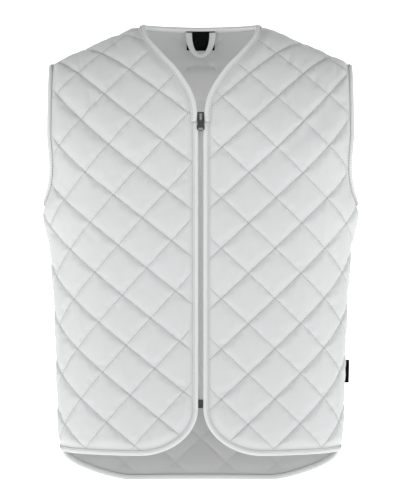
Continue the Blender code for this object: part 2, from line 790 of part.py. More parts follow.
def zip_bar(name, sign, inner, outer, back, front, top, bottom):
    """A bar that follows the zip line between two levels."""
    curved = resample([[0, top], [0, top + 2 * SLIDER_LENGTH]], SLIDER_LENGTH / 2)[:, 1]
    hanging = resample([[0, top + 2 * SLIDER_LENGTH], [0, bottom]], STRAIGHT_STATION)[1:, 1]
    levels = np.concatenate([curved, hanging])
    section = ((inner, back), (outer, back), (outer, front), (inner, front))
    rows = [[zip_point(sign * x, level, out) for x, out in section] for level in levels]
    return swept(name, np.array(rows), False)


def make_zip_sides():
    """Woven tapes and rows of teeth, from the slider to the foot of the zip."""
    objects = []
    chain_top = SLIDER_TOP + DIVIDER_LENGTH + GAP
    chain_bottom = ZIP_BOTTOM - BOX_LENGTH - GAP
    for name, sign in (("left", 1), ("right", -1)):
        objects.append(zip_bar("zip_tape_" + name, sign, GAP / 2, ZIP_TAPE_WIDTH,
                               ZIP_TAPE_BACK, ZIP_TAPE_FRONT, chain_top, ZIP_BOTTOM))
        objects.append(zip_bar("zip_coil_" + name, sign, GAP / 2, GAP / 2 + COIL_WIDTH,
                               COIL_BACK + GAP, COIL_FRONT, chain_top, chain_bottom))
    return objects


def slider_frame():
    """Origin on the cloth's middle at the pull's axis, with the outward and upward directions."""
    origin = zip_point(0.0, PIVOT_LEVEL, 0.0)
    out = zip_point(0.0, PIVOT_LEVEL, 1.0) - origin
    up = np.cross(out, (1.0, 0.0, 0.0))
    return origin, out, up / np.linalg.norm(up)


def slider_prism(name, outline, half_width):
    """A prism across the zip from an outline of (up, out) places in the slider's frame."""
    origin, out, up = slider_frame()
    points = []
    for x in (-half_width, half_width):
        for rise, reach in outline:
            points.append(origin + np.array([x, 0, 0]) + up * rise + out * reach)
    count = len(outline)
    faces = [tuple(range(count)), tuple(reversed(range(count, 2 * count)))]
    for i in range(count):
        j = (i + 1) % count
        faces.append((i, count + i, count + j, j))
    return mesh_object(name, np.array(points), faces)


def rectangle(low_up, high_up, low_out, high_out):
    """Outline of a block in the slider's frame."""
    return ((low_up, low_out), (high_up, low_out), (high_up, high_out), (low_up, high_out))


def add_union(base, helper):
    """Joins a helper solid to a base with a Boolean modifier."""
    helper.hide_render = True
    helper.display_type = "WIRE"
    helper.hide_set(True)
    union = base.modifiers.new(helper.name, "BOOLEAN")
    union.operation = "UNION"
    union.solver = "EXACT"
    union.object = helper


def bridge_outline(foot, crown):
    """Arch over the pull's bar, with cut-off shoulders."""
    half = BRIDGE_LENGTH / 2
    wall = BRIDGE_THICKNESS
    cut = wall
    return (
        (-half, foot),
        (-half + wall, foot),
        (-half + wall, crown - wall - cut / 2),
        (-half + wall + cut / 2, crown - wall),
        (half - wall - cut / 2, crown - wall),
        (half - wall, crown - wall - cut / 2),
        (half - wall, foot),
        (half, foot),
        (half, crown - cut),
        (half - cut, crown),
        (-half + cut, crown),
        (-half, crown - cut),
    )


def make_slider():
    """Two plates, a divider between them at the top, side flanges and the pull's bridge."""
    top = PIVOT_BELOW_SLIDER_TOP
    bottom = top - SLIDER_LENGTH
    half = SLIDER_WIDTH / 2
    back = ZIP_TAPE_BACK - SLIDER_PLAY
    chamfer = 0.4 * SLIDER_PLATE
    front_plate = (
        (bottom + chamfer, PLATE_BACK),
        (top - chamfer, PLATE_BACK),
        (top, PLATE_BACK + chamfer),
        (top, PLATE_FRONT - chamfer),
        (top - chamfer, PLATE_FRONT),
        (bottom + chamfer, PLATE_FRONT),
        (bottom, PLATE_FRONT - chamfer),
        (bottom, PLATE_BACK + chamfer),
    )
    slider = slider_prism("zip_slider", front_plate, half)
    slip = 0.37 * SLIDER_PLATE
    rear = slider_prism("slider_rear_plate", rectangle(bottom, top, back - SLIDER_PLATE, back), half)
    divider_outline = rectangle(
        top - DIVIDER_LENGTH + GAP, top - 2 * chamfer, back - slip, PLATE_BACK + slip)
    divider = slider_prism("slider_divider", divider_outline, DIVIDER_WIDTH / 2)
    crown = PIVOT_OUT + PULL_THICKNESS / 2 + GAP + BRIDGE_THICKNESS
    bridge = slider_prism("slider_bridge", bridge_outline(PLATE_FRONT - slip, crown), BRIDGE_WIDTH / 2)
    for helper in (divider, rear, bridge):
        add_union(slider, helper)
    return slider


def pull_outline():
    """Half outline of the pull below its axis: (distance from the middle, distance down)."""
    foot = PULL_LENGTH
    radius = PULL_WIDTH / 2
    points = [(PULL_NECK_WIDTH / 2, -PULL_THICKNESS * 0.7)]
    points.append((PULL_NECK_WIDTH / 2, PULL_WINDOW + PULL_THICKNESS))
    points.append((radius, foot - radius - PULL_THICKNESS))
    for angle in np.linspace(0, math.pi / 2, 6)[:-1]:
        points.append((radius * math.cos(angle), foot - radius * 0.8 * (1 - math.sin(angle))))
    return points


def make_pull(root):
    """Pull tab: a plate with a window at its top, whose upper bar turns under the bridge."""
    origin, out, up = slider_frame()
    axis_point = origin + out * PIVOT_OUT
    half = pull_outline()
    outline = half + [(0.0, PULL_LENGTH)] + [(-x, d) for x, d in reversed(half)]
    points = []
    for reach in (-PULL_THICKNESS / 2, PULL_THICKNESS / 2):
        for x, distance in outline:
            points.append(np.array([x, 0, 0]) - up * distance + out * reach)
    count = len(outline)
    faces = [tuple(reversed(range(count))), tuple(range(count, 2 * count))]
    for i in range(count):
        j = (i + 1) % count
        faces.append((i, j, count + j, count + i))
    pull = mesh_object("zip_pull", np.array(points), faces)
    pull.location = axis_point
    pull.parent = root
    window_half = BRIDGE_WIDTH / 2 + GAP
    window = []
    for x in (-window_half, window_half):
        for distance, reach in ((PULL_THICKNESS * 0.6, -2), (PULL_WINDOW, -2), (PULL_WINDOW, 2),
                                (PULL_THICKNESS * 0.6, 2)):
            window.append(axis_point + np.array([x, 0, 0]) - up * distance + out * reach * PULL_THICKNESS)
    cutter = mesh_object("pull_window", np.array(window), box_faces())
    cutter.hide_render = True
    cutter.display_type = "WIRE"
    cutter.hide_set(True)
    cut = pull.modifiers.new("window", "BOOLEAN")
    cut.operation = "DIFFERENCE"
    cut.solver = "EXACT"
    cut.object = cutter
    return pull


def box_faces():
    """Faces of a block whose first four corners are one end and last four the other."""
    return [(0, 1, 2, 3), (7, 6, 5, 4), (0, 4, 5, 1), (1, 5, 6, 2), (2, 6, 7, 3), (3, 7, 4, 0)]


def make_zip_box():
    """Retaining box in front of the tapes at the foot of the zip, with its lower lip."""
    half = BOX_WIDTH / 2
    bevel = BOX_WIDTH / 10
    top = ZIP_BOTTOM - BOX_LENGTH
    front = COIL_FRONT + BOX_WIDTH / 8
    back = COIL_BACK + GAP
    lip = BOX_LENGTH / 8
    # level, depth of the face, half width
    rows = (
        (top, front - bevel, half - bevel),
        (top + bevel, front, half),
        (ZIP_BOTTOM - 2 * lip, front, half),
        (ZIP_BOTTOM - 1.6 * lip, front - bevel, half - bevel / 2),
        (ZIP_BOTTOM - lip, front - bevel, half - bevel / 2),
        (ZIP_BOTTOM - 0.6 * lip, front, half),
        (ZIP_BOTTOM, front, half),
    )
    sections = []
    for level, face, reach in rows:
        section = ((-reach, back), (reach, back), (reach, face - bevel), (reach - bevel, face),
                   (-reach + bevel, face), (-reach, face - bevel))
        sections.append([zip_point(x, level, out) for x, out in section])
    return swept("zip_box", np.array(sections), False)


# Labels and loop

def back_inner_point(across, drop, inward):
    """Point inside the back: distance below the neck edge along the cloth, and inward offset."""
    neck = back_neck_edge()
    down = float(np.interp(abs(across), neck[:, 0], neck[:, 1])) + drop
    middle = cloth(BACK, np.array([across]), np.array([down]))[0]
    normal = cloth_normal(BACK, np.array([across]), np.array([down]))[0]
    return middle - normal * inward


def label_back():
    """Inward offset of the patch's hidden face, clear of the padding."""
    return max(TAPE_OUTER, HALF_SEWN + INNER_PUFF) + GAP


def make_neck_label():
    """Flat patch inside the back neck, its top edge on the neck tape."""
    back = label_back()
    front = back + LABEL_THICKNESS
    top = NECK_TAPE_WIDTH - 3 * TAPE_WALL
    sections = []
    for across in np.linspace(-LABEL_WIDTH / 2, LABEL_WIDTH / 2, 9):
        rows = []
        for drop, inward in label_section(top, back, front):
            rows.append(back_inner_point(across, drop, inward))
        sections.append(rows)
    return swept("neck_label", np.array(sections), False)


def label_section(top, back, front):
    """Outline of the patch down the cloth: hidden face down, then shown face up."""
    drops = np.linspace(top, top + LABEL_HEIGHT, 6)
    down = [(drop, back) for drop in drops]
    return down + [(drop, front) for drop in drops[::-1]]


def loop_path(share):
    """Middle line of the hanging loop: a U, share 0 to 1 from one leg's top to the other's."""
    angle = math.pi * share
    across = -math.cos(angle) * LOOP_WIDTH / 2
    drop = LOOP_HEIGHT * math.sin(angle) ** LOOP_POWER
    return across, drop


def make_hanger_loop():
    """Flat tape in a U in front of the patch, standing off it towards the bottom."""
    top = NECK_TAPE_WIDTH - 2 * TAPE_WALL
    near = label_back() + LABEL_THICKNESS + GAP
    shares = np.linspace(0, 1, 21)
    sections = []
    for share in shares:
        across, drop = loop_path(share)
        before = np.array(loop_path(max(share - 0.01, 0)))
        after = np.array(loop_path(min(share + 0.01, 1)))
        run = (after - before) / np.linalg.norm(after - before)
        wide = np.array([-run[1], run[0]]) * LOOP_TAPE_WIDTH / 2
        stand = near + LOOP_STAND_OFF * math.sin(math.pi * share)
        rows = []
        for sign, depth in ((-1, 0.0), (1, 0.0), (1, LOOP_TAPE_THICKNESS), (-1, LOOP_TAPE_THICKNESS)):
            rows.append(back_inner_point(across + sign * wide[0], top + drop + sign * wide[1],
                                         stand + depth))
        sections.append(rows)
    return swept("hanger_loop", np.array(sections), False)


def make_side_label():
    """Folded tab that stands out of the wearer's left side seam."""
    half = SIDE_LABEL_THICKNESS / 2
    levels = np.linspace(SIDE_LABEL_LEVEL - SIDE_LABEL_HEIGHT / 2,
                         SIDE_LABEL_LEVEL + SIDE_LABEL_HEIGHT / 2, 5)
    sections = []
    for level in levels:
        seam = cloth(FRONT, np.array([side_across(FRONT, level)]), np.array([level]))[0]
        start = seam[0] + HALF_SEWN + GAP
        end = start + SIDE_LABEL_DEPTH
        section = ((start, -half), (end - half, -half), (end, 0.0), (end - half, half), (start, half))
        sections.append([(x, y, seam[2]) for x, y in section])
    return swept("side_label", np.array(sections), False)


# Objects and materials

def mesh_object(name, points, faces):
    """A mesh object with its faces turned outwards."""
    mesh = bpy.data.meshes.new(name)
    mesh.from_pydata([tuple(map(float, p)) for p in points], [], faces)
    mesh.update()
    work = bmesh.new()
    work.from_mesh(mesh)
    bmesh.ops.recalc_face_normals(work, faces=work.faces)
    bmesh.ops.triangulate(work, faces=[f for f in work.faces if len(f.verts) > 3])
    work.to_mesh(mesh)
    work.free()
    mesh.shade_smooth()
    mesh.set_sharp_from_angle(angle=math.radians(40))
    part = bpy.data.objects.new(name, mesh)
    bpy.context.scene.collection.objects.link(part)
    return part


def surface_material(name, color, roughness, metallic):
    """A Principled material."""
    material = bpy.data.materials.new(name)
    material.use_nodes = True
    shader = material.node_tree.nodes["Principled BSDF"]
    shader.inputs["Base Color"].default_value = (*color, 1.0)
    shader.inputs["Roughness"].default_value = roughness
    shader.inputs["Metallic"].default_value = metallic
    return material


MATERIALS = {
    # name starts with: colour, roughness, metallic
    "front_panel": ((0.80, 0.82, 0.82), 0.55, 0.0),
    "back_panel": ((0.72, 0.74, 0.74), 0.60, 0.0),
    "neck_binding": ((0.76, 0.78, 0.78), 0.60, 0.0),
    "front_binding": ((0.76, 0.78, 0.78), 0.60, 0.0),
    "armhole_binding": ((0.76, 0.78, 0.78), 0.60, 0.0),
    "tail_binding": ((0.76, 0.78, 0.78), 0.60, 0.0),
    "zip_tape": ((0.60, 0.62, 0.62), 0.80, 0.0),
    "zip_coil": ((0.55, 0.57, 0.57), 0.50, 0.0),
    "zip_slider": ((0.12, 0.12, 0.12), 0.35, 0.9),
    "zip_pull": ((0.14, 0.14, 0.14), 0.35, 0.9),
    "zip_box": ((0.10, 0.10, 0.10), 0.45, 0.0),
    "neck_label": ((0.01, 0.01, 0.01), 0.70, 0.0),
    "hanger_loop": ((0.66, 0.68, 0.68), 0.60, 0.0),
    "side_label": ((0.01, 0.01, 0.01), 0.70, 0.0),
}


def give_materials(objects):
    """Each object gets a material of its own."""
    for part in objects:
        for start, values in MATERIALS.items():
            if part.name.startswith(start):
                part.data.materials.append(surface_material(part.name, *values))


def clear_scene():
    """Removes whatever the file holds."""
    for part in list(bpy.data.objects):
        bpy.data.objects.remove(part, do_unlink=True)


def main():
    """Builds the gilet."""
    clear_scene()
    root = bpy.data.objects.new("gilet", None)
    bpy.context.scene.collection.objects.link(root)
    edges = free_edges()
    objects = make_panels(edges) + make_edge_tapes(edges) + make_zip_sides()
    objects += [make_slider(), make_zip_box(), make_neck_label(), make_hanger_loop()]
    objects.append(make_side_label())
    for part in objects:
        part.parent = root
    objects.append(make_pull(root))
    give_materials(objects)


main()
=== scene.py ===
"""Looks of the quilted thermal work gilet, laid out as an add-on that is run as a script.

Units are metres, +Z is up and the front faces -Y. Each panel is a padded wall on a middle surface
that is measured as flat cloth: "across" runs round the body from the middle, and "down" is the
depth below the origin, which becomes distance along the cloth where the shoulder curves over.
"""

import json
import math

import bmesh
import bpy
import numpy as np
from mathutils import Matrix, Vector
from mathutils.geometry import delaunay_2d_cdt

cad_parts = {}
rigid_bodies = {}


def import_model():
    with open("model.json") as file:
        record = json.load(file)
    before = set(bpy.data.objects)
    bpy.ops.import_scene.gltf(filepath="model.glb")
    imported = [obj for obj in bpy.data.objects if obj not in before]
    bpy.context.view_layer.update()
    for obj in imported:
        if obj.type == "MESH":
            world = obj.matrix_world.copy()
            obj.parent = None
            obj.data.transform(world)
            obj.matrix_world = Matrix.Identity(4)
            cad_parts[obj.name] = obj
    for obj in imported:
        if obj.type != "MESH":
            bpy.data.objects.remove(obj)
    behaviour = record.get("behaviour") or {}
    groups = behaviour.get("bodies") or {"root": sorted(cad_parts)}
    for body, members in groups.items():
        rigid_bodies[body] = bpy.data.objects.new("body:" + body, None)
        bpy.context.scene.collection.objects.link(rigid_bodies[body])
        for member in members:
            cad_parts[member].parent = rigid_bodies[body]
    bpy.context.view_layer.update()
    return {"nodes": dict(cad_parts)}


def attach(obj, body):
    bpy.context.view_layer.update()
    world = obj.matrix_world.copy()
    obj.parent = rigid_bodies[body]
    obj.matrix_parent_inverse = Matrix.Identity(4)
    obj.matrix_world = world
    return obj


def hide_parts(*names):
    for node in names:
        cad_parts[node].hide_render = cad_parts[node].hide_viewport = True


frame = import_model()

bl_info = {
    "name": "Quilted thermal gilet",
    "version": (1, 0, 0),
    "blender": (4, 5, 0),
    "location": "3D View > Sidebar > Gilet",
    "description": "Builds the quilted gilet's panels, tapes, zip, labels, materials and stage",
    "category": "Object",
}

# Overall sizes
HALF_CHEST = 0.246
FRONT_DEPTH = 0.122
BACK_DEPTH = 0.112
FRONT_LENGTH = 0.671
TAIL_DROP = 0.056
TAIL_FLAT = 0.115
SIDE_HEM_RISE = 0.002

# Shoulders and neck
SHOULDER_SLOPE = 0.44
SHOULDER_ROUNDING = 0.03
SHOULDER_HEIGHT = 0.20
SHOULDER_HALF_WIDTH = 0.2385
SHOULDER_OVERHANG = 0.0235
NECK_HALF_WIDTH = 0.0875
NECK_DROP = 0.1433
BACK_NECK_RISE = 0.001

# Armholes
ARMHOLE_DEPTH = 0.277
ARMHOLE_CURVE_HEIGHT = 0.100

# Lower front corners
CORNER_WIDTH = 0.096
CORNER_HEIGHT = 0.074

# Quilting: diamonds, their padding and the sewn thickness
DIAMOND_WIDTH = 0.0836
DIAMOND_HEIGHT = 0.0773
RIGHT_QUILT_TURN = math.radians(4.5)
OUTER_PUFF = 0.0036
INNER_PUFF = 0.0020
SEWN_THICKNESS = 0.0016
PUFF_EDGE = 0.014

# Edge tape
TAPE_WALL = 0.0010
NECK_TAPE_WIDTH = 0.0085
FRONT_TAPE_WIDTH = 0.0077
ARMHOLE_TAPE_WIDTH = 0.0085
TAIL_TAPE_WIDTH = 0.0080

# Zip
ZIP_HALF_GAP = 0.0040
SLIDER_HALF_GAP = 0.0055
ZIP_TAPE_WIDTH = 0.0135
ZIP_TAPE_THICKNESS = 0.0008
COIL_WIDTH = 0.0022
COIL_THICKNESS = 0.0022
SLIDER_LENGTH = 0.0146
DIVIDER_LENGTH = 0.0036
BOX_LENGTH = 0.0125

# Labels and hanging loop
LABEL_WIDTH = 0.044
LABEL_HEIGHT = 0.036
LABEL_THICKNESS = 0.0006
LOOP_WIDTH = 0.034
LOOP_HEIGHT = 0.040
LOOP_TAPE_WIDTH = 0.0060
LOOP_TAPE_THICKNESS = 0.0010
LOOP_STAND_OFF = 0.0085
SIDE_LABEL_LEVEL = 0.546
SIDE_LABEL_HEIGHT = 0.036
SIDE_LABEL_DEPTH = 0.0095
SIDE_LABEL_THICKNESS = 0.0012

# Clearances between pieces
GAP = 0.0003
SEAM_GAP = 0.0003
SEAM_ALLOWANCE = 0.0005
TAPE_EASE = 0.0005
NEAR_SEAM = 0.003

# Spacing of the sections along seams and edge tape
STATION = 0.004
FINE_STATION = 0.8 * STATION

# Points of the curves before they are spaced out, and powers that shape them
NECK_POINTS = 160
CURVE_POINTS = 80
CORNER_POINTS = 60
HEM_POINTS = 40
TAIL_POWER = 1.45
ARMHOLE_POWER = 0.9
PILLOW_POWER = 0.5
LOOP_POWER = 0.75
FLAT_ROUNDS = 12
SECTION_STRIDE = 12

# Roundness of the level sections: 2 is an ellipse, more is squarer
SECTION_POWER = 2.4

FRONT = -1
BACK = 1

# Girth: level as a share of FRONT_LENGTH, half width as a share of HALF_CHEST,
# front and back depth as shares of FRONT_DEPTH and BACK_DEPTH
GIRTH = (
    # level, width, front, back
    (0.412, 1.000, 1.00, 1.00),
    (0.455, 0.985, 1.00, 1.00),
    (0.530, 0.951, 0.99, 0.98),
    (0.625, 0.930, 0.97, 0.96),
    (0.745, 0.915, 0.96, 0.95),
    (0.890, 0.904, 0.96, 0.97),
    (1.000, 0.892, 0.97, 0.99),
    (1.090, 0.886, 0.98, 1.00),
)

# V neck from the shoulder seam to the slider, seen from the front: share of the neck's half width
# beyond the slider gap, and share of NECK_DROP
NECKLINE = (
    # across, down
    (1.000, 0.000),
    (0.936, 0.144),
    (0.758, 0.276),
    (0.583, 0.391),
    (0.420, 0.488),
    (0.277, 0.600),
    (0.139, 0.726),
    (0.046, 0.851),
    (0.000, 1.000),
)

# Long folds of the worn cloth: side, place across as a share of HALF_CHEST, level as a share of
# FRONT_LENGTH, run direction in degrees from level, half length and half width as shares of
# HALF_CHEST, and height as a share of OUTER_PUFF, negative where it dents
FOLDS = (
    # side, across, level, turn, half_length, half_width, height
    (BACK, 0.00, 0.075, 0, 0.42, 0.040, -0.8),
    (FRONT, 1.02, 0.440, 0, 0.20, 0.100, 0.5),
    (FRONT, -1.02, 0.440, 0, 0.20, 0.100, 0.5),
    (BACK, 1.02, 0.440, 0, 0.20, 0.100, 0.5),
    (BACK, -1.02, 0.440, 0, 0.20, 0.100, 0.5),
    (FRONT, -0.62, 0.270, -38, 0.40, 0.050, -0.5),
    (FRONT, 0.62, 0.270, 38, 0.40, 0.050, -0.5),
)

# Quilt grids: the panel's side, the place of one crossing as shares of HALF_CHEST and FRONT_LENGTH,
# and the turn of the grid
QUILT_GRIDS = {
    # panel: side, across, level, turn
    "front_panel_right": (FRONT, -0.546, 0.402, RIGHT_QUILT_TURN),
    "front_panel_left": (FRONT, 0.470, 0.409, 0.0),
    "back_panel": (BACK, 0.000, 0.406, 0.0),
}

# Values that follow from the sizes above
HALF_SEWN = SEWN_THICKNESS / 2
SHOULDER_SPREAD = SHOULDER_HALF_WIDTH + SHOULDER_OVERHANG
TAPE_INNER = HALF_SEWN + TAPE_EASE
TAPE_OUTER = TAPE_INNER + TAPE_WALL
PANEL_INSET = TAPE_WALL + GAP
ZIP_TAPE_FRONT = -TAPE_OUTER - 2 * GAP
ZIP_TAPE_BACK = ZIP_TAPE_FRONT - ZIP_TAPE_THICKNESS
COIL_BACK = ZIP_TAPE_FRONT + GAP
COIL_FRONT = COIL_BACK + COIL_THICKNESS
SLIDER_TOP = NECK_DROP
SLIDER_BOTTOM = SLIDER_TOP + SLIDER_LENGTH
ZIP_BOTTOM = FRONT_LENGTH - CORNER_HEIGHT

# Looks that the drawn pieces add to the shape

# How much the mesh crowds towards the stitch lines: 0 is even
CREASE_CROWDING = 0.7

# Profile of a diamond along each count: the powers with which it rises after a stitch line and
# falls before the next, and the share of the height that is left on the line
VALLEYS = {
    # panel: (rise, fall, left) for the first and the second count
    "front_panel_right": ((0.30, 0.30, 0.45), (0.46, 0.22, 0.1)),
    "front_panel_left": ((0.22, 0.46, 0.1), (0.30, 0.30, 0.45)),
    "back_panel": ((0.32, 0.32, 0.25), (0.32, 0.32, 0.25)),
}

# Wrinkles of the worn cloth: side, place seen from the front as x and level, run direction in
# degrees from level, half length, half width, and height, negative where it dents
WRINKLES = (
    # side, x, level, turn, half_length, half_width, height
    (FRONT, 0.137, 0.056, 80, 0.013, 0.0036, -0.0013),
    (FRONT, 0.147, 0.058, 82, 0.011, 0.0034, 0.0008),
    (FRONT, 0.130, 0.117, 96, 0.014, 0.0034, -0.0013),
    (FRONT, 0.144, 0.119, 92, 0.012, 0.0030, -0.0010),
    (FRONT, 0.087, 0.118, 94, 0.014, 0.0034, -0.0012),
    (FRONT, 0.159, 0.062, 75, 0.010, 0.0032, -0.0011),
    (FRONT, 0.175, 0.094, 80, 0.014, 0.0050, -0.0013),
    (FRONT, 0.210, 0.077, 85, 0.010, 0.0035, -0.0010),
    (FRONT, 0.105, 0.040, 70, 0.011, 0.0032, -0.0010),
    (FRONT, -0.188, 0.064, 92, 0.012, 0.0036, -0.0013),
    (FRONT, -0.170, 0.119, 100, 0.012, 0.0032, -0.0012),
    (FRONT, -0.160, 0.120, 88, 0.011, 0.0030, -0.0010),
    (FRONT, -0.131, 0.036, 110, 0.010, 0.0030, -0.0010),
    (FRONT, -0.069, 0.134, 60, 0.010, 0.0034, -0.0009),
    (FRONT, -0.118, 0.092, 84, 0.013, 0.0060, -0.0008),
    (FRONT, 0.160, 0.300, 50, 0.016, 0.0050, -0.0007),
    (FRONT, -0.170, 0.330, -45, 0.016, 0.0050, -0.0007),
)

# Crease across the lining inside the back: its level, how sharp it is, how far the cloth below it
# stands in, and where it fades out downwards and sideways
LINING_CREASE_LEVEL = 0.058
LINING_CREASE_WIDTH = 0.0045
LINING_CREASE_DEPTH = 0.0042
LINING_CREASE_FADE = 0.10
LINING_CREASE_REACH = 0.11

# How much the loop's legs widen outwards at their tops
LOOP_FLARE = 0.0045

# Edge tape's fold and its row of stitches
TAPE_FOLD = 0.0011
TAPE_STITCH_INSET = 0.0017
TAPE_STITCH_DIP = 0.00025
TAPE_STITCH_SPREAD = 0.0007
TAPE_SWELL = 0.0003
TAPE_FACE_POINTS = 9

# Zip: the cord woven beside the teeth, how far the cloth's front lies back, the places along and
# across it, a tooth's radius as a share of the pitch, and the rounding of the hard pieces
ZIP_CORD_HEIGHT = 0.0002
ZIP_CORD_PLACE = 1.35 * COIL_WIDTH
ZIP_CORD_SPREAD = 0.0005
ZIP_CLOTH_EASE = 0.0001
ZIP_STATIONS = 200
ZIP_COLUMNS = 22
TOOTH_RADIUS = 0.34
HARD_ROUNDING = 0.00022

# Neck patch: its turned-in border, and how thin its middle is
PATCH_HEM = 0.004
PATCH_HEM_SLOPE = 0.0008
PATCH_MIDDLE = 0.72

# Random ripples, and places that count as one
RIPPLE_WAVES = 12
RIPPLE_SCALE = 5
TOUCHING = 1e-6

# Share of a diamond's cell that stays free beside its rim
RIM_CLEARANCE = 0.35

# Cloth that settles
SIMULATION_SCALE = 10.0
CLOTH_FRAMES = 20
CLOTH_POINT_MASS = 0.06
CLOTH_TENSION = 12.0
CLOTH_SHEAR = CLOTH_TENSION / 3
CLOTH_BENDING = 0.5

# Stage
FLOOR_LEVEL = -0.80
FLOOR_REACH = 14.0
BACKDROP_DISTANCE = 11.0
BACKDROP_RADIUS = 2.0
BACKDROP_HEIGHT = 9.0
FLOOR_GLOW = 0.9
ROOM_LIGHT = 0.30
CAMERA_PLACE = (-0.0011, -4.0, -0.3547)
FRAME_WIDTH = 0.632
SENSOR_WIDTH = 36.0
LIGHTS = (
    # name, place, aim, size, watts
    ("left_softbox", (-2.6, -0.9, 0.1), (0.0, 0.0, -0.36), (1.6, 2.4), 23.0),
    ("right_softbox", (2.6, -0.9, 0.1), (0.0, 0.0, -0.36), (1.6, 2.4), 21.5),
    ("top_softbox", (0.0, -1.4, 2.0), (0.0, 0.0, -0.36), (1.6, 1.0), 8.5),
    ("front_softbox", (0.0, -3.6, 1.0), (0.0, 0.0, -0.36), (2.4, 1.6), 2.0),
    ("neck_light", (0.0, -0.06, -0.27), (0.0, 0.11, -0.07), (0.20, 0.06), 0.28),
)

# Cloths of the pieces
CLOTHS = (
    # name, colour, thread pitch, roughness, sheen, unevenness, relief, crumple, shine
    ("Outer cloth", "outer_colour", 0.0005, 0.40, 0.10, 0.05, 0.00002, 0.00006, 0.30),
    # The lining is darker than the outer cloth: painted shade of the inside of the gilet
    ("Lining cloth", "lining_painted_shade_colour", 0.0005, 0.60, 0.10, 0.06, 0.00004, 0.0002, 0.30),
    ("Edge tape", "tape_colour", 0.0008, 0.60, 0.20, 0.08, 0.00004, 0.0002, 0.30),
    # Thread is near black: painted shade of the needle holes between the stitches and of the step beside
    # each edge tape
    ("Thread", "painted_shade_thread_colour", 0.0004, 0.60, 0.25, 0.08, 0.00004, 0.0002, 0.30),
    ("Zip cloth", "zip_colour", 0.0011, 0.80, 0.10, 0.12, 0.00004, 0.0002, 0.30),
    ("Label cloth", "label_colour", 0.0006, 0.90, 0.00, 0.10, 0.00004, 0.0002, 0.08),
    ("Loop tape", "loop_colour", 0.0009, 0.65, 0.10, 0.10, 0.00004, 0.0002, 0.30),
)

# Finishes: the first row with a word of the piece's name counts
FINISHES = (
    # words, names of the materials
    (("stitches",), ("Thread",)),
    (("quilt",), ("Outer cloth", "Lining cloth")),
    (("neck_patch", "side_tab"), ("Label cloth",)),
    (("loop_tape",), ("Loop tape",)),
    (("zip_cloth",), ("Zip cloth",)),
    (("zip_teeth",), ("Zip teeth",)),
    (("neck_tape", "tail_tape", "front_tape", "armhole_tape"), ("Edge tape",)),
)

# Lighter worn places of the metal: the slider's middle and the pull's end
WORN_PLACES = (
    # node, share of its height, reach either way
    ("zip_slider", 0.52, (0.0024, 1.0, 0.0058)),
    ("zip_pull", 0.16, (0.0042, 1.0, 0.0022)),
)


# Curves and tables

def smooth_interp(x, xs, ys):
    """Cubic through the rows of a table, with slopes taken from the rows on both sides."""
    xs = np.asarray(xs, float)
    ys = np.asarray(ys, float)
    x = np.clip(x, xs[0], xs[-1])
    slopes = np.gradient(ys, xs)
    i = np.clip(np.searchsorted(xs, x) - 1, 0, len(xs) - 2)
    width = xs[i + 1] - xs[i]
    t = (x - xs[i]) / width
    rise = t * t * (3 - 2 * t)
    lead = t * (1 - t) ** 2 * slopes[i] * width
    trail = t * t * (t - 1) * slopes[i + 1] * width
    return ys[i] * (1 - rise) + ys[i + 1] * rise + lead + trail


def smoothstep(t):
    """0 below 0, 1 above 1, with level ends."""
    t = np.clip(t, 0.0, 1.0)
    return t * t * (3 - 2 * t)


def arc_table(xs, ys):
    """Share of a curve's length at each of its points."""
    steps = np.hypot(np.diff(xs), np.diff(ys))
    total = np.concatenate(([0.0], np.cumsum(steps)))
    return total / total[-1]


ANGLES = np.linspace(0.0, math.pi / 2, 100 * SECTION_STRIDE + 1)
SECTION_X = np.sin(ANGLES) ** (2 / SECTION_POWER)
SECTION_Y = np.cos(ANGLES) ** (2 / SECTION_POWER)
SECTION_SHARE = arc_table(SECTION_X * HALF_CHEST, SECTION_Y * FRONT_DEPTH)
PROFILE_SHARE = arc_table(np.sin(ANGLES) * FRONT_DEPTH, np.cos(ANGLES) * SHOULDER_HEIGHT)


def quarter_section_length(width, depth):
    """Length of a quarter of a level section, from the middle to the side."""
    x = np.multiply.outer(width, SECTION_X[::SECTION_STRIDE])
    y = np.multiply.outer(depth, SECTION_Y[::SECTION_STRIDE])
    return np.hypot(np.diff(x, axis=-1), np.diff(y, axis=-1)).sum(axis=-1)


def quarter_ellipse_length(a, b):
    """Ramanujan's formula for a quarter of an ellipse."""
    return math.pi / 4 * (3 * (a + b) - np.sqrt((3 * a + b) * (a + 3 * b)))


# Middle surface of the cloth

def girth(side, down):
    """Half width and depth of the body at a level."""
    table = np.array(GIRTH)
    level = np.asarray(down, float) / FRONT_LENGTH
    width = HALF_CHEST * smooth_interp(level, table[:, 0], table[:, 1])
    spread_end = ARMHOLE_DEPTH - ARMHOLE_CURVE_HEIGHT
    blend = smoothstep((down - spread_end) / ARMHOLE_CURVE_HEIGHT)
    width = SHOULDER_SPREAD * (1 - blend) + width * blend
    depth = FRONT_DEPTH if side == FRONT else BACK_DEPTH
    column = 2 if side == FRONT else 3
    return width, depth * smooth_interp(level, table[:, 0], table[:, column])


def ridge_height(x):
    """Height of the shoulder line at a distance from the middle: 0 at the neck, lower outwards."""
    rounded = np.sqrt(np.square(x) + SHOULDER_ROUNDING ** 2)
    at_neck = math.hypot(NECK_HALF_WIDTH, SHOULDER_ROUNDING)
    return SHOULDER_SLOPE * (at_neck - rounded)


def section_place(side, across, down):
    """Distance from the middle and depth of a place, on its level section."""
    width, depth = girth(side, down)
    share = np.clip(np.abs(across) / quarter_section_length(width, depth), 0, 1)
    reach = depth * np.interp(share, SECTION_SHARE, SECTION_Y)
    return width * np.interp(share, SECTION_SHARE, SECTION_X), reach


